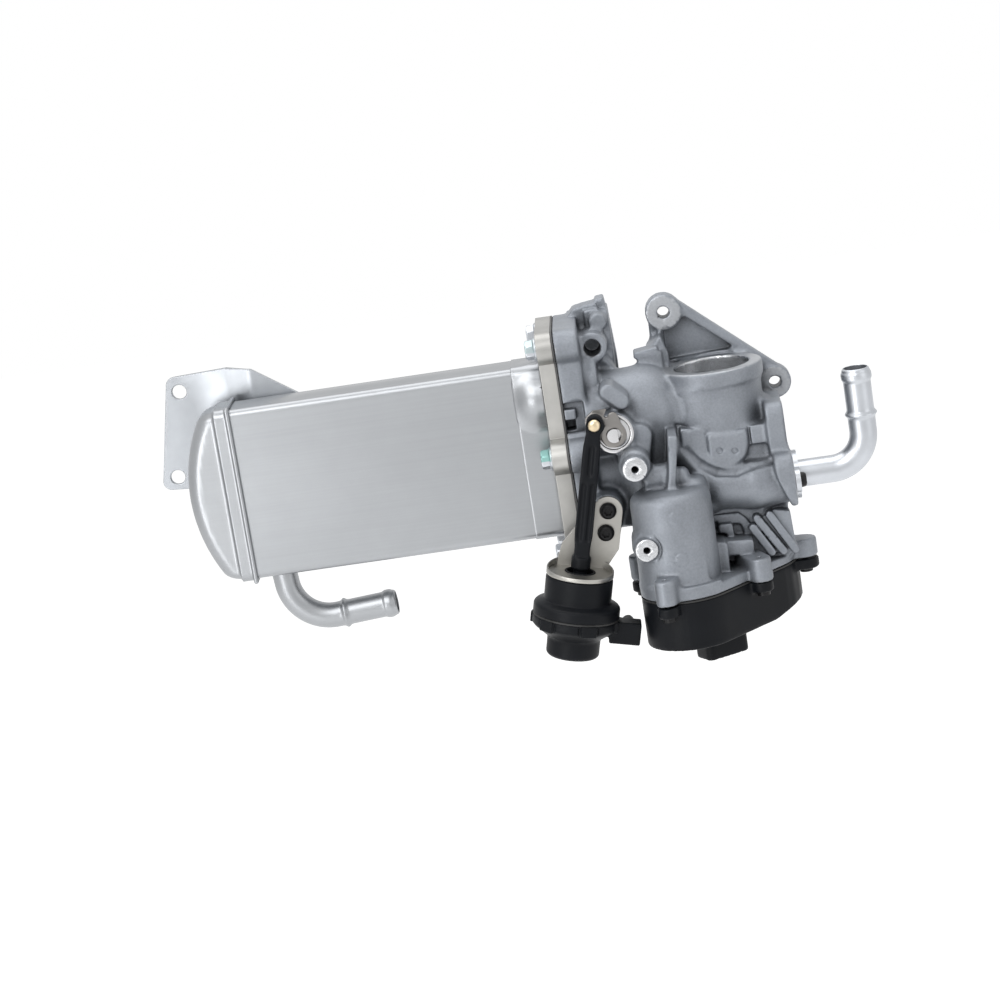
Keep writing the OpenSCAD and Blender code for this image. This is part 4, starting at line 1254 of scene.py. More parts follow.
def hose_pipe(path: Array, r: float, run: float, bead: float, wall: float = 1.0) -> Surface:
    """Pipe wall along a flat path with a bead and a flared lip on its last run.

    With s along the run, its bead at b and its end at e, the outer radius is
    r + 1.35 exp(-((s - b) / 1.45)^2) + 0.9 exp(-((s - e + 4.7) / 2.6)^4), less
    0.75 over the last 1.2 mm. P(s, a) = c(s) + r(s) (cos a n + sin a j), where
    j is the Y axis and n = j x t.

    Args:
        path: Centre line that ends in the straight run.
        r: Outer radius.
        run: Length of the straight run.
        bead: Place of the bead on the run.
        wall: Wall thickness.

    Returns:
        The closed wall: the outside out, and the inside back.
    """
    s = np.concatenate([[0], np.cumsum(np.linalg.norm(np.diff(path, axis=0), axis=1))])
    s = s - s[-1] + run
    outer = r + 1.35 * np.exp(-(((s - bead) / 1.45) ** 2)) + 0.9 * np.exp(-(((s - run + 4.7) / 2.6) ** 4))
    outer = outer - 0.75 * np.clip((s - run + 1.2) / 1.2, 0, 1) ** 2
    inner = np.minimum(r - wall, outer - 0.35)
    tangent = np.gradient(path, axis=0)
    tangent /= np.linalg.norm(tangent, axis=1, keepdims=True)
    side = np.array([0, 1.0, 0])
    n = np.cross(side, tangent)
    line, n = np.concatenate([path, path[::-1]]), np.concatenate([n, n[::-1]])
    radii = np.concatenate([outer, inner[::-1]])
    a = full_turn(56)[None, :, None]
    pts = line[:, None] + radii[:, None, None] * (np.cos(a) * n[:, None] + np.sin(a) * side)
    return Surface(pts.reshape(-1, 3), grid_quads(*pts.shape[:2], closed=True)[:, ::-1])


@dataclass
class CastHousing:
    """Die-cast valve housing with fillets, machined faces and foundry marks.

    Most forms are prisms: an outline in X and Z as seen from the front, then
    the Y of the front and of the back, the edge radius and the corner radius.

    Attributes:
        voxel: Sample distance.
        fillet: Radius of the inner corners.
        edge: Radius of the outer edges.
        merging: Merging of flat faces.
        boss_holes: X, Z and front of the two tapped bosses.
        lugs: X, Z and radius of the two mounting lugs.
        passages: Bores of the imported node, which stay open.
    """

    voxel: float = 0.65
    fillet: float = 1.5
    edge: float = 0.55
    merging: float = 0.08
    boss_holes: tuple[tuple[float, float, float], ...] = ((-51.8, -42.1, -62.0), (-51.7, -88.7, -66.0))
    lugs: tuple[tuple[float, float, float], ...] = ((-23.2, 30.3, 10.4), (36.0, -20.3, 9.5))

    # Block over the gas inlet, and the web between the lugs
    inlet_step: Prism = Prism(
        ((-79, 18), (-79, 37), (-75.5, 41.5), (-66, 43), (-61, 43), (-61, 18)), 11, 27, 1.2, 1.5, melt=2.0)
    inlet_wall: Prism = Prism(
        ((-62, 0), (-62, 44.5), (-56.5, 45), (-54.6, 26), (-53.5, 10), (-53.5, 0)),
        15, 31, 1.0, 1.2, melt=1.6)
    inlet_pad: Prism = Prism(
        ((-69, 28.5), (-69, 40), (-60.5, 40.5), (-60.5, 28)), 8.5, 14, 0.9, 1.2, melt=1.0)
    port_wedge: Prism = Prism(
        ((-44, 9.6), (-43.6, 12.6), (-29.4, 14.4), (-29.4, 1.2), (-31, 1)), 0, 14, 0.7, 0.8, melt=1.4)
    web_pocket: Prism = Prism(
        ((-11.6, 26.2), (14.0, 4.6), (12.0, 2.4), (-24.8, 1.0), (-24.6, 20)), 12, 28.4, 0.5, 1.6, melt=1.0)
    port_clearance: Bar = Bar((0, 0, 0), (0, 0, 3.2), 25.6, 0.3, melt=0.3)

    # Neck below the port, with the coolant branch under it
    port_shoulder: Bar = Bar((-8, -3, -32), (-8, -3, -9.6), 23.2, 1.0, melt=5.0)
    shoulder_block: Prism = Prism(((20, -23), (28, -23), (28, -36), (20, -36)), -13, 0, 1.0, 1.0, melt=4.0)
    elbow_relief: Prism = Prism(
        ((-25.6, -28), (-19, -30), (-9.6, -35), (-9.6, -54), (-14, -62), (-29, -62), (-30.5, -56)),
        -52, -20.5, 0.5, 0.5, melt=1.5)
    room: Prism = Prism(
        ((-24, -63), (-10, -60), (26, -60), (36, -88), (40, -115), (-24, -113.4)),
        -62, -21.0, 1.0, 1.0, melt=1.5)
    branch_r: float = 14.0
    branch_melt: float = 2.5
    branch_joints: tuple[tuple[float, float, float], ...] = (
        (-34, -9, -31), (-3, -19.6, -66.4), (12, -20.0, -69.4), (33, -17.4, -68.2))
    branch_drop: Bar = Bar((-21, -10, -34), (-13, -17, -84), 13.6, 9.0, melt=2.5)
    cross_rib: Bar = Bar((-48, -36, -56.4), (-21.6, -36, -56.4), 6.6, 4.5, melt=1.6)
    elbow_wedge: Prism = Prism(
        ((-23.6, -30), (-9.6, -32), (-10.2, -51.8), (-14.5, -50.4), (-19.5, -46), (-23.6, -40.6)),
        -27.0, -5, 1.0, 1.6, melt=1.4)
    side_block: Prism = Prism(((8, -44), (28, -44), (28, -58), (12, -58)), -21, 0, 2.0, 2.0, melt=3.0)
    dimpled_box: Prism = Prism(
        ((-9.2, -35), (14.8, -35), (14.4, -46), (12, -51.4), (5, -56.8), (-4, -55.4), (-9.6, -49.6)),
        -28.4, -12, 2.4, 2.8, melt=1.2)
    box_gap: Prism = Prism(
        ((14.9, -34.6), (16.4, -34.6), (16.2, -48), (14.9, -48)), -30, -24.2, 0.2, 0.2, melt=0.6)
    dimples: tuple[Bar, ...] = (
        Bar((-2.6, -31, -46.4), (-2.6, -27.6, -45.6), 1.8, melt=0.4),
        Bar((6.0, -31, -47.6), (6.0, -27.6, -46.8), 1.8, melt=0.4))
    seam_r: float = 2.4
    seam_melt: float = 2.0
    seam: tuple[tuple[float, float, float], ...] = (
        (-22.5, -28.6, -41.6), (-14.5, -30.0, -51.8), (-5.6, -30.8, -57.6),
        (5.5, -30.8, -59.2), (14.5, -29.0, -56.4), (30, -26.4, -55.4))

    # Motor tower, and the recess over the gear deck
    deck_lug: Prism = Prism(capsule((11, -45), 6.6, (4, -26), 6.61), -120.9, -107, 1.4, 0, 2, melt=1.6)
    lug_dots: tuple[Bar, ...] = (
        Bar((11, -45, -109), (11, -45, -104), 1.3, melt=0.3),
        Bar((-44.5, -73.5, -107), (-44.5, -73.5, -102), 1.3, melt=0.3))
    tower: Bar = Bar((-35.6, -44.6, -118), (-34.8, -44.6, -60.0), 23.0, 6.0, melt=2.5)
    tower_dome: Bar = Bar((-20.6, -35, -75), (-20.6, -35, -56.6), 8.2, 5.0, melt=3.0)
    pillar: Prism = Prism(
        ((-16, -95.4), (-5.6, -96.4), (-6.2, -118), (-18, -118)), -43, -18, 1.2, 2.4, melt=1.4)
    ledge: Prism = Prism(
        ((-7, -97.4), (9.4, -98.6), (8.8, -107.4), (-7, -106.6)), -36, -18, 1.0, 1.8, melt=1.2)
    hook: Prism = Prism(
        ((-9.6, -89.4), (-1.2, -89.4), (-0.6, -100.4), (-4.6, -100), (-5, -95.2), (-9.6, -94.6)),
        -27, -18, 0.8, 1.8, melt=1.0)
    shelf: Prism = Prism(
        ((-12, -84.4), (3.5, -85), (7.6, -89), (9.4, -93), (24, -86), (33, -88), (34, -112), (8, -112),
         (4, -92), (-12, -88.6)), -22.6, -16, 0.4, 0.8, melt=0.6)
    slanted_ribs: tuple[Prism, ...] = (
        Prism(capsule((10.4, -94.2), 2.3, (19.2, -110), 2.31), -27.5, -16, 0.45, 0, melt=0.5),
        Prism(capsule((13.4, -89.2), 2.3, (26.0, -110.4), 2.31), -26.5, -16, 0.45, 0, melt=0.5),
        Prism(capsule((21.0, -88.4), 2.3, (33, -110.6), 2.31), -25.5, -16, 0.45, 0, melt=0.5))

    # Front side round the flap's lever and beside the flange
    boss_ring: Bar = Bar((-51.7, -74, -88.7), (-51.7, -64.3, -88.7), 8.6, melt=0.8)
    lower_boss: Bar = Bar((-51.7, -66, -88.7), (-51.7, -50, -88.7), 6.6, 0.4, melt=0.4)
    fin: Prism = Prism(
        ((-31, -28.4), (-25.6, -29.2), (-29.6, -53), (-32, -66), (-37, -66), (-33.8, -53)),
        -50, -14, 0.7, 0.8, melt=1.2)
    flange_recess: Prism = Prism(
        ((-87.4, -5.6), (-76, -5.6), (-76, -24.8), (-87.4, -24.8)), -45, -23.4, 0.5, 1.0, melt=0.8)
    recess_facet: Prism = Prism(
        ((-87.6, -9.4), (-81, -9.4), (-81, -15.6), (-87.6, -15.6)), -27.4, -20, 0.6, 0.6, melt=0.5)
    recess_pocket: Prism = Prism(
        ((-87.4, -16.2), (-82.2, -16.2), (-82.2, -22.2), (-87.4, -22.2)), -45, -15, 0.3, 0.4, melt=0.3)
    recess_bar: Bar = Bar((-87.8, -29.6, -25.6), (-75, -28.6, -25.6), 3.0, 1.0, melt=0.8)
    lever_stop: Prism = Prism(capsule((-61.2, -0.4), 4.6, (-54.4, -6.8), 4.8), -40, -20, 1.8, 0, melt=1.4)
    pin_marks: tuple[tuple[float, float, float], ...] = ((-32.6, -69.8, -72.0), (-32.6, -69.8, -96.4))
    pin_mark_r: float = 4.4

    # Holes and passages
    dowel_hole: Bar = Bar((-66.6, -16, 21.4), (-66.6, 4, 21.4), 4.7, melt=0.4)
    port_mouth: Bar = Bar((0, 0, -9.6), (0, 0, 3), 21.6, melt=0.5)
    passages: tuple[Bar, ...] = (
        Bar((-32, -45, -122), (-32, -45, -65), 18.2, 0.0),  # motor
        Bar((0, 0, -46), (0, 0, -25), 15.4, 0.0),  # valve chamber
        Bar((0, 0, -26), (0, 0, -9), 19.5, 0.0),  # valve seat
        Bar((0, 0, -62), (0, 0, -45), 6.0, 0.0),  # stem guide
        Bar((0, 0, -121), (0, 0, -61), 3.8, 0.0),  # stem
        Bar((0, 0, -121), (0, 0, -104), 7.5, 0.0),  # stem seal
        Bar((0, 0, -121), (0, 0, -112), 11.2, 0.0),  # drive hub
        Bar((-44, 0, -51.6), (0, 0, -36), 12.0, 0.0),  # gas from the flap to the valve
        Bar((-30, -16, -68.5), (39, -16, -68.5), 6.4, 0.0),  # coolant branch
        Bar((31, -16, -68.5), (39, -16, -68.5), 8.1, 0.0),  # inlet pipe
        Bar((35.9, -16, -68.5), (39, -16, -68.5), 10.6, 0.0),  # pipe seal
        Bar((-28, -16, -68.5), (-28, -4, -76.6), 5.8, 0.0),  # coolant turn
        Bar((-89, -4, -76.6), (-24, -4, -76.6), 5.5, 0.0),  # coolant to the cooler
        Bar((-71, 20, 8), (-71, 54, 8), 12.0, 0.0),  # gas inlet
        Bar((-70, 2, 1), (-71, 23, 8), 9.8, 0.0),  # gas from the inlet to the flap
    )

    def web(self, f: Field) -> None:
        """Adds the rimmed web between the lugs, its pocket and the lugs.

        Args:
            f: Field of the casting.
        """
        (ax, az, ar), (bx, bz, br) = self.lugs
        inset, web_front, web_back, lug_front, lug_back, hole_r = 0.3, 22.2, 30.6, 20, 31.9, 3.5
        outline = capsule((ax, az), ar - inset, (bx, bz), br - inset)
        f.add(Prism(outline, web_front, web_back, 0.7, 0, melt=0.8))
        f.cut_round(self.web_pocket, Bar((ax, 12, az), (ax, 32, az), ar + 0.8))
        for cx, cz, r in self.lugs:
            f.add(Bar((cx, lug_front, cz), (cx, lug_back, cz), r, 0.5, melt=0.6))
            f.cut(Bar((cx, 10, cz), (cx, 40, cz), hole_r, melt=0.3))
        f.cut(self.port_clearance)

    def neck(self, f: Field) -> None:
        """Shapes the neck below the port, the coolant branch and the seam above it.

        Args:
            f: Field of the casting.
        """
        f.add(self.port_shoulder, self.shoulder_block)
        f.cut(self.elbow_relief)
        f.cut_round(self.room, self.tower)
        f.add(self.branch_drop, *self.branch())
        f.add(self.cross_rib, self.elbow_wedge, self.side_block, self.dimpled_box)
        f.cut(self.box_gap, *self.dimples)
        f.cut(*(Bar(a, b, self.seam_r, melt=self.seam_melt) for a, b in zip(self.seam[:-1], self.seam[1:])))

    def branch(self) -> tuple[Bar, ...]:
        """Returns the lengths of the sagging coolant branch, with ball joints."""
        r, k, ball, flange_edge = self.branch_r, self.branch_melt, self.branch_r - 0.05, 3.0
        a, b, c, d = np.array(self.branch_joints)
        drop, sag = (r * (q - p) / np.linalg.norm(q - p) for p, q in ((a, b), (b, c)))
        return (Bar(tuple(a), tuple(b + drop), r, ball, k), Bar(tuple(b - sag), tuple(c + sag), r, ball, k),
                Bar(tuple(c), tuple(d), r, flange_edge, k))

    def ring_mark(self, f: Field, at: tuple[float, float, float], r: float) -> None:
        """Sinks the fine ring that an ejector pin leaves on a front face.

        The ring is | |c| - r | < half a width, sunk by its depth under the
        skin; c is taken in X and Z.

        Args:
            f: Field of the casting.
            at: Middle of the ring on the skin.
            r: Its radius.
        """
        half_width, depth = 0.45, 0.35
        room = (r + 2, 4, r + 2)
        where, (x, _, z) = f.part(np.subtract(at, room), np.add(at, room))
        line = np.abs(np.hypot(x - at[0], z - at[2]) - r) - half_width
        base = f.values[where]
        f.values[where] = np.maximum(base, np.minimum(-np.broadcast_to(line, base.shape), base + depth))

    def flap_side(self, f: Field) -> None:
        """Adds the lower boss, the fin, the recess by the flange, the stop and the marks.

        Args:
            f: Field of the casting.
        """
        f.cut(self.boss_ring)
        f.add(self.lower_boss, self.fin)
        f.cut(self.flange_recess)
        f.add(self.recess_facet)
        f.cut(self.recess_pocket)
        f.add(self.recess_bar, self.lever_stop)
        for at in self.pin_marks:
            self.ring_mark(f, at, self.pin_mark_r)

    def solid(self) -> Field:
        """Returns the rounded solid with its added forms, holes and passages.

        Returns:
            The distance field of the casting.
        """
        f = Field.from_solid(cad_mesh("valve_housing"), self.voxel, self.fillet, self.edge)
        f.add(self.inlet_step, self.inlet_wall, self.inlet_pad, self.port_wedge)
        self.web(f)
        self.neck(f)
        f.add(self.deck_lug)
        f.cut(*self.lug_dots)
        f.add(self.tower, self.tower_dome, self.pillar, self.ledge, self.hook, self.shelf, *self.slanted_ribs)
        self.flap_side(f)
        f.cut(*(Bar((x, y - 3, z), (x, y + 14, z), 1.9, melt=0.3) for x, z, y in self.boss_holes))
        f.cut(self.dowel_hole, self.port_mouth, *self.passages)
        return f

    def machined(self, s: Surface) -> Array:
        """Returns 1 where a tool has cut the casting bright and 0 on its skin.

        A value between them is a face that has gone dull since.

        Args:
            s: The casting's surface with normals.

        Returns:
            One value per point.
        """
        x, y, z = s.verts.T
        nx, ny, nz = s.normals.T
        facing, square, dull, port_dull = 0.7, 0.9, 0.5, 0.45
        port = (np.abs(z) < 1.2) & (np.hypot(x, y) < 29.6) & (y < 20) & (nz > facing)
        bright = (np.hypot(x, y) < 22.2) & (z > -27) & (z < 0.4)
        bright |= (x < -87.3) & (nx < -facing)
        for cx, cz, front in self.boss_holes:
            bright |= (np.hypot(x - cx, z - cz) < 7.2) & (y < front + 0.5) & (ny < -0.4)
        lug_front = (y < 20.6) & (y > 19.2) & (ny < -square)
        worn = (y > 31.2) & (ny > facing)
        for (cx, cz, _), r in zip(self.lugs, (10.4, 9.6)):
            worn |= lug_front & (np.hypot(x - cx, z - cz) < r)
        worn |= (np.hypot(x + 66.6, z - 21.4) < 5.2) & (y < 4)
        worn |= (x > 37.3) & (nx > square) & (np.abs(y + 16) < 25) & (z < -45) & (z > -88)
        worn |= (z < -119.3) & (nz < -facing)
        return np.maximum.reduce([port_dull * port, dull * worn, bright.astype(float)])

    def build(self, shop: Workshop) -> None:
        """Makes the casting.

        Args:
            shop: Materials and fitting.
        """
        surface = self.solid().surface(self.merging)
        surface.marks["machined"] = self.machined(surface)
        shop.fit(surface.to_object("cast_body"), Slot.CAST, Body.HOUSING, "valve_housing")


@dataclass
class FlapDrive:
    """Lever, seal case and rod that turn the bypass flap.

    Attributes:
        shaft: X and Z of the flap's shaft.
        shaft_hole_r: Radius of the lever's hole for it.
        stop_tab: Tab of the lever that meets the stop.
        hub: Round end of the lever on the shaft.
        case_profile: Radius and Y of the seal case's section, round the shaft.
        eye: X and Z of the rod's eye.
        eye_r: Radius to which the eye is trimmed.
        eye_room: Box round the eye that is trimmed.
    """

    shaft: tuple[float, float] = (-60.8, -24.1)
    shaft_hole_r: float = 4.05
    stop_tab: Prism = Prism(
        ((-76, -12.6), (-65.6, -3.6), (-62.2, -7), (-66, -14), (-72.6, -17)),
        -45.9, -43.6, 0.3, 0.8, melt=0.8)
    hub: Prism = Prism(
        ((-68, -31), (-54.2, -31), (-54.2, -17.4), (-68, -17.4)), -45.9, -43.6, 0.3, 6.6, melt=0.8)
    case_profile: tuple[tuple[float, float], ...] = (
        (6.2, -40.5), (6.2, -41.1), (6.6, -41.3), (7.6, -40.9), (9.0, -40.9),
        (9.4, -41.9), (10.2, -42.2), (11.2, -41.9), (11.4, -41.05))
    eye: tuple[float, float] = (-70.6, -14.6)
    eye_r: float = 4.9
    eye_room: tuple[tuple[float, float, float], ...] = ((-82, -60, -18.4), (-60, -40, -4))

    def lever(self) -> Surface:
        """Returns the lever with its stop tab and its round hub."""
        x, z = self.shaft
        f = Field.from_solid(cad_mesh("flap_lever"), 0.3, 0.2, 0.25)
        f.add(self.stop_tab, self.hub)
        f.cut(Bar((x, -50, z), (x, -40, z), self.shaft_hole_r))
        return f.surface(0.02)

    def seal_case(self) -> Surface:
        """Pressed ring round the shaft: P(a, i) = (x + r_i cos a, y_i, z - r_i sin a).

        Returns:
            The closed ring.
        """
        a = full_turn(96)[:, None]
        r, y = np.array(self.case_profile).T
        pts = np.stack([self.shaft[0] + r * np.cos(a), y + 0 * a, self.shaft[1] - r * np.sin(a)], -1)
        return Surface(pts.reshape(-1, 3), grid_quads(*pts.shape[:2], closed=True)[:, ::-1])

    def rod(self) -> Surface:
        """Rod with its eye trimmed: max(d, |c| - r - max(z0 - z, 0) / 2) round the eye.

        Returns:
            The closed surface.
        """
        x0, z0 = self.eye
        f = Field.from_solid(cad_mesh("actuator_rod"), 0.4, 0.7, 0.45)
        where, (x, _, z) = f.part(*self.eye_room)
        trim = np.hypot(x - x0, z - z0) - self.eye_r - 0.5 * np.maximum(z0 - z, 0)
        f.values[where] = np.maximum(f.values[where], trim)
        return f.surface(0.05)

    def build(self, shop: Workshop) -> None:
        """Makes the visible pieces of the flap's drive.

        Args:
            shop: Materials and fitting.
        """
        lever = shop.fit(self.lever().to_object("lever_plate"), Slot.ZINC, Body.FLAP, "flap_lever")
        shop.refinish(LEVER_STEEL, lever)
        shop.fit(self.seal_case().to_object("seal_case", 40), Slot.BRIGHT, Body.HOUSING)
        shop.fit(self.rod().to_object("rod_moulding"), Slot.BLACK, Body.ROD, "actuator_rod")


@dataclass
class VacuumActuator:
    """Vacuum can with its plate bracket and screws.

    The can is worked out upright, with its top plate at z = 0, and is then
    tilted about Y and moved to its origin.

    Attributes:
        origin: Middle of the top plate.
        tilt: Tilt about Y in degrees.
        ring_r: Radius of the clamped ring.
        can_r: Radius of the upper shell.
        wall: Wall of the upper shell.
        mouth_r: Radius of the rod's opening.
        pads: X and Z of the bracket's screws, before the tilt.
        bracket_y: Front of the bracket's pads.
        tab_turn: Turn of the clip tabs round the ring, in degrees.
    """

    origin: tuple[float, float, float] = (-91.8708, -50.5, -101.0407)
    tilt: float = 13.6
    ring_r: float = 25.0
    can_r: float = 19.4
    wall: float = 1.3
    mouth_r: float = 7.6
    pads: tuple[tuple[float, float], ...] = ((13.0, 23.0), (13.0, 36.0))
    bracket_y: float = -38.0
    tab_turn: float = 12.0

    def placed(self, points: Array) -> Surface:
        """Returns rings of the upright can as a skin in its place.

        Args:
            points: Rings from turned, of which the last repeats the first.

        Returns:
            The closed skin.
        """
        skin = Surface(points.reshape(-1, 3), grid_quads(*points.shape[:2]))
        return skin.moved(about_y(self.tilt), self.origin)

    def upper(self) -> Surface:
        """Upper shell, a turned profile with rounded corners.

        Returns:
            The closed shell.
        """
        r, c, i, m = self.ring_r, self.can_r, self.can_r - self.wall, self.mouth_r
        outside = [(m, -1.6), (m, 2.6), (m + 1.3, 2.6), (m + 1.3, 0), (c - 1.4, 0), (c, -1.4), (c, -14.5),
                   (r - 1.2, -16.2), (r, -17.6), (r, -22.9)]
        inside = [(r - 2, -22.9), (r - 2, -17.9), (i, -15.8), (i, -1.6), (m, -1.6)]
        return self.placed(turned(rounded_path(outside + inside, 0.8), full_turn(112)))

    def lower(self) -> Surface:
        """Lower shell with rounded edges and clip tabs round its ring.

        A tab is a box of 2.4 by 9.2 by 6.4 mm at each sixth of the ring, and a
        slot of 1 mm along its sides and its lower end parts it from the ring.
        Nothing changes near the block of the nipple.

        Returns:
            The closed shell.
        """
        f = Field.from_solid(cad_mesh("actuator_lower_shell"), 0.42, 0.8, 0.3)
        back = about_y(self.tilt).T
        _, (x, y, z) = f.part(*Field.EVERYWHERE)
        dx, dy, dz = x - self.origin[0], y - self.origin[1], z - self.origin[2]
        lx, ly, lz = (back[k, 0] * dx + back[k, 1] * dy + back[k, 2] * dz for k in range(3))
        turn = np.arctan2(ly, lx) + math.radians(self.tab_turn)
        sector = (turn + np.pi / 6) % (np.pi / 3) - np.pi / 6
        away = np.hypot(lx, ly)
        u, v = away * np.cos(sector) - self.ring_r, away * np.sin(sector)
        tab = round_box(u, v, lz, (-0.4, 0, -27.2), (1.2, 4.6, 3.2), 0.5)
        line = np.abs(np.maximum(np.abs(v) - 5.6, -31.0 - lz)) - 0.5
        slot = np.maximum(np.maximum(line, np.abs(u) - 1.4), np.abs(lz + 28.2) - 3.6)
        near_block = (lx > self.ring_r - 7) & (np.abs(ly) < 8)
        clipped = np.maximum(np.minimum(f.values, tab), -slot)
        f.values = np.where(near_block, f.values, clipped).astype(np.float32)
        return f.surface(0.05)

    def cup(self) -> Surface:
        """Raised rim of the plate: a turned strip whose height falls to the front.

        P(a) = (r cos a, r sin a, h), with h = 2.2 + 4.6 (0.5 + 0.5 sin a)^1.5 and
        a thickness of 1.2 mm.

        Returns:
            The closed strip.
        """
        outer, inner, edge = self.can_r, self.can_r - 1.2, 0.4
        a = full_turn(96)
        top = 2.2 + 4.6 * (0.5 + 0.5 * np.sin(a)) ** 1.5
        return self.placed(turned((
            (outer - 0.2, 0.0), (outer, edge), (outer, top - edge), (outer - 0.3, top),
            (inner + 0.3, top), (inner, top - edge), (inner, 0.0), (outer - 0.2, 0.0)), a))

    def screws(self) -> Surface:
        """Returns the two screws of the plate."""
        screw = dome_screw(4.9, 3.2, 2.1, 2.4, 13.0).moved(aim((0, -1, 0)), (0, 0, 0))
        turn = about_y(self.tilt)
        depth = self.bracket_y - self.origin[1]
        spots = [np.array((x, depth, z)) @ turn.T + self.origin for x, z in self.pads]
        return Surface.join([screw.moved(np.eye(3), spot) for spot in spots])

    def build(self, shop: Workshop) -> None:
        """Makes the visible pieces of the actuator.

        Args:
            shop: Materials and fitting.
        """
        spring = cad_mesh("actuator_spring").to_object("vacuum_spring", 60.0)
        shop.fit(spring, Slot.BRIGHT, Body.HOUSING, "actuator_spring")
        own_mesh(spring)
        shop.fit(self.upper().to_object("can_upper"), Slot.BLACK, Body.HOUSING, "actuator_upper_shell")
        shop.fit(self.lower().to_object("can_lower"), Slot.BLACK, Body.HOUSING, "actuator_lower_shell")
        cup = shop.fit(self.cup().to_object("plate_cup", 40.0), Slot.ZINC, Body.HOUSING)
        plate = shop.bevelled("actuator_plate", "actuator_bracket", Slot.ZINC, Body.HOUSING, 0.3)
        shop.refinish(PRESSED_PLATE, plate, cup)
        shop.fit(self.screws().to_object("plate_screws", 40.0), Slot.SCREW, Body.HOUSING, "bracket_screws")


@dataclass
class GearHousing:
    """Moulded gear cover with plug socket below the casting."""

    def build(self, shop: Workshop) -> None:
        """Makes the cover.

        Args:
            shop: Materials and fitting.
        """
        shop.softened("cover_moulding", "gear_cover", Slot.BLACK, Body.HOUSING,
                      voxel=0.5, close=1.0, open_=0.5, adaptivity=0.03)


@dataclass
class CoolantInlet:
    """Bent inlet pipe with its plate and screws.

    Attributes:
        face_x: Face of the casting.
        plate: Thickness of the plate on it.
        sunk: Length of the pipe inside the casting.
        y: Depth of the pipe's middle.
        z: Height of its level length.
        x1: X of its upright length.
        end_z: Height of its end.
        bend: Bend radius.
        r: Outer radius.
        bead_below: Distance of the bead below the end.
        screw_gap: Distance of each screw from the pipe's middle.
    """

    face_x: float = 38.0
    plate: float = 3.0
    sunk: float = 6.0
    y: float = -16.0
    z: float = -68.5
    x1: float = 81.0
    end_z: float = -11.3
    bend: float = 20.0
    r: float = 8.0
    bead_below: float = 27.0
    screw_gap: float = 16.0

    def pipe(self) -> Surface:
        """Returns the inlet pipe: out along X, then up.

        The standard pipe path, which drops and runs out along +X, is turned so
        that its run points up.

        Returns:
            The closed pipe wall.
        """
        run = self.end_z - self.z - self.bend
        length = self.x1 - self.bend - self.face_x + self.sunk
        path = pipe_path(np.array([0, 0, length]), np.array([0, 0, 0.0]), self.bend, run)
        turn = np.array([[0, 0, -1.0], [0, 1, 0], [1, 0, 0]])
        pipe = hose_pipe(path, self.r, run, run - self.bead_below)
        return pipe.moved(turn, (self.x1 - self.bend, self.y, self.z))

    def screws(self) -> Surface:
        """Returns the two screws of the plate."""
        screw = dome_screw(4.4, 3.4, 2.0, 2.4, 9.0).moved(aim((1, 0, 0)), (self.face_x + self.plate, 0, 0))
        spots = [(0, self.y + side * self.screw_gap, self.z) for side in (-1, 1)]
        return Surface.join([screw.moved(np.eye(3), spot) for spot in spots])

    def build(self, shop: Workshop) -> None:
        """Makes the visible pieces of the inlet.

        Args:
            shop: Materials and fitting.
        """
        shop.fit(self.pipe().to_object("inlet_pipe"), Slot.ZINC, Body.HOUSING, "coolant_inlet_pipe")
        shop.bevelled("inlet_plate", "pipe_plate", Slot.ZINC, Body.HOUSING, 0.4)
        shop.fit(self.screws().to_object("inlet_screws", 40.0), Slot.SCREW, Body.HOUSING, "pipe_screws")


@dataclass(frozen=True)
class Lamp:
    """Soft rectangular lamp.

    Attributes:
        name: Lamp name.
        place: Position in metres.
        target: Point that it faces.
        size: Width and height in metres.
        watts: Power.
    """

    name: str
    place: tuple[float, float, float]
    target: tuple[float, float, float]
    size: tuple[float, float]
    watts: float

    def build(self) -> None:
        """Adds the lamp to the scene."""
        data = bpy.data.lights.new(self.name, "AREA")
        data.shape = "RECTANGLE"
        data.size, data.size_y = self.size
        data.energy = self.watts
        obj = bpy.data.objects.new(self.name, data)
        direction = Vector(self.target) - Vector(self.place)
        turn = direction.to_track_quat("-Z", "Y").to_matrix()
        obj.matrix_world = Matrix.Translation(self.place) @ turn.to_4x4()
        bpy.context.scene.collection.objects.link(obj)


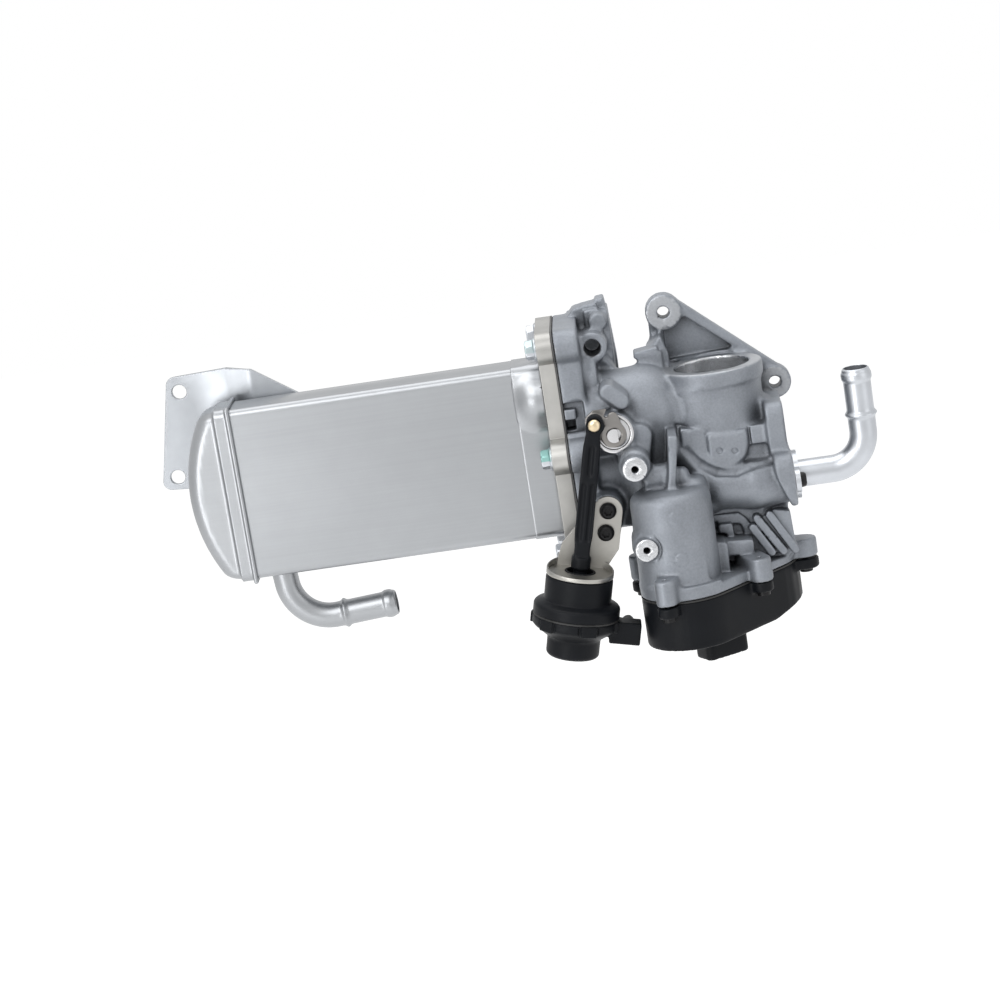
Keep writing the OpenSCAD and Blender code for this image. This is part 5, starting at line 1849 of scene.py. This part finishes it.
@dataclass
class Studio:
    """Camera at the photograph's angle, soft light, pale floor and white surround.

    Attributes:
        azimuth: Camera's angle to the side, in degrees.
        elevation: Camera's angle above the level, in degrees.
        roll: Roll of the picture, in degrees.
        distance: Distance of the camera, in millimetres.
        mm_per_pixel: Scale of the picture at the port.
        picture: Width of the picture in pixels.
        origin_pixel: Pixel on which the port's centre falls.
        sensor: Sensor width, in millimetres.
        floor_z: Height of the floor, in metres.
        floor_half: Half width of the floor, in metres.
        floor_glow: Light that the floor shows to the camera.
        dim: Surround's light from below.
        clear: Surround's light from above.
        lamps: The lamps.
    """

    azimuth: float = 3.5
    elevation: float = 13.0
    roll: float = 9.0
    distance: float = 1700.0
    mm_per_pixel: float = 0.58
    picture: int = 1000
    origin_pixel: tuple[float, float] = (711.0, 363.5)
    sensor: float = 36.0
    floor_z: float = -0.6
    floor_half: float = 4.0
    floor_glow: float = 0.62
    dim: float = 0.12
    clear: float = 0.5
    lamps: tuple[Lamp, ...] = (
        Lamp("key", (-0.7, -1.1, 0.9), (-0.1, 0, -0.05), (1.2, 1.0), 11.0),
        Lamp("top", (-0.05, 0.15, 1.1), (-0.1, 0, 0), (1.3, 0.9), 6.6),
        Lamp("fill", (0.95, -0.7, 0.2), (0, 0, -0.05), (0.7, 1.0), 1.5),
        Lamp("side", (-1.0, -1.4, -0.2), (-0.35, 0, -0.05), (0.6, 0.6), 5.0))

    def camera(self) -> None:
        """Places the camera so that the port's centre falls on its pixel."""
        a, e, r = (math.radians(v) for v in (self.azimuth, self.elevation, self.roll))
        back = Vector((math.sin(a) * math.cos(e), -math.cos(a) * math.cos(e), math.sin(e)))
        right0 = Vector((math.cos(a), math.sin(a), 0))
        up0 = back.cross(right0)
        right = right0 * math.cos(r) - up0 * math.sin(r)
        up = right0 * math.sin(r) + up0 * math.cos(r)
        middle = self.picture / 2
        du = (self.origin_pixel[0] - middle) * self.mm_per_pixel
        dv = (middle - self.origin_pixel[1]) * self.mm_per_pixel
        place = (back * self.distance - right * du - up * dv) * MM
        data = bpy.data.cameras.new("camera")
        data.sensor_width = self.sensor
        data.lens = self.sensor * self.distance / (self.picture * self.mm_per_pixel)
        data.clip_end = 20.0
        obj = bpy.data.objects.new("camera", data)
        turn = Matrix((right, up, back)).transposed()
        obj.matrix_world = Matrix.Translation(place) @ turn.to_4x4()
        bpy.context.scene.collection.objects.link(obj)
        bpy.context.scene.camera = obj

    def seen(self, g: Graph) -> bpy.types.NodeSocket:
        """Returns 1 for rays that show the background: camera, glossy and transmission.

        Args:
            g: Graph of the material or world itself.

        Returns:
            The value's socket.
        """
        paths = g.add("ShaderNodeLightPath").outputs
        mirrored = g.calc("MAXIMUM", paths["Is Glossy Ray"], paths["Is Transmission Ray"])
        return g.calc("MAXIMUM", paths["Is Camera Ray"], mirrored)

    def world(self) -> None:
        """Sets a soft grey surround that camera and mirrored rays see as white."""
        world = bpy.data.worlds.new("surround")
        world.use_nodes = True
        bpy.context.scene.world = world
        world.node_tree.nodes.clear()
        g = Graph(world.node_tree)
        normal = g.add("ShaderNodeTexCoord").outputs["Generated"]
        up = g.add("ShaderNodeSeparateXYZ", {0: normal}).outputs[2]
        level = g.span(up, -0.5, 0.9, self.dim, self.clear)
        strength = g.add("ShaderNodeMix", {0: self.seen(g), 2: level, 3: 1.0}).outputs[0]
        sky = g.add("ShaderNodeBackground", {"Color": (1, 1, 1, 1), "Strength": strength})
        g.add("ShaderNodeOutputWorld", {"Surface": sky.outputs[0]})

    def floor(self) -> None:
        """Lays a pale floor well below the part, which is held by its mounts."""
        corners = self.floor_half * np.array([[-1, -1], [1, -1], [1, 1], [-1, 1]], float)
        verts = np.concatenate([corners, np.full((4, 1), self.floor_z)], 1) / MM
        obj = Surface(verts, np.array([[0, 1, 2, 3]])).to_object("floor")
        material = bpy.data.materials.new("floor")
        material.use_nodes = True
        g = Graph(material.node_tree)
        material.node_tree.nodes.clear()
        paint = g.add("ShaderNodeBsdfDiffuse", {"Color": (0.9, 0.9, 0.9, 1)})
        level = g.calc("MULTIPLY", self.seen(g), self.floor_glow)
        glow = g.add("ShaderNodeEmission", {"Color": (1, 1, 1, 1), "Strength": level})
        both = g.add("ShaderNodeAddShader", {0: paint.outputs[0], 1: glow.outputs[0]})
        g.add("ShaderNodeOutputMaterial", {"Surface": both.outputs[0]})
        obj.data.materials.append(material)

    def build(self) -> None:
        """Sets up the whole studio."""
        bpy.context.scene.view_settings.view_transform = "Standard"
        self.camera()
        self.world()
        self.floor()
        for lamp in self.lamps:
            lamp.build()


def main() -> None:
    """Builds the dressed part and its studio."""
    logging.basicConfig(level=logging.INFO, format="%(name)s: %(message)s")
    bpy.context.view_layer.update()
    shop = Workshop()
    shop.paint_frame()
    for part in (CoolerBody(), CastHousing(), FlapDrive(), VacuumActuator(), GearHousing(), CoolantInlet()):
        part.build(shop)
    Studio().build()


if __name__ == "__main__":
    main()
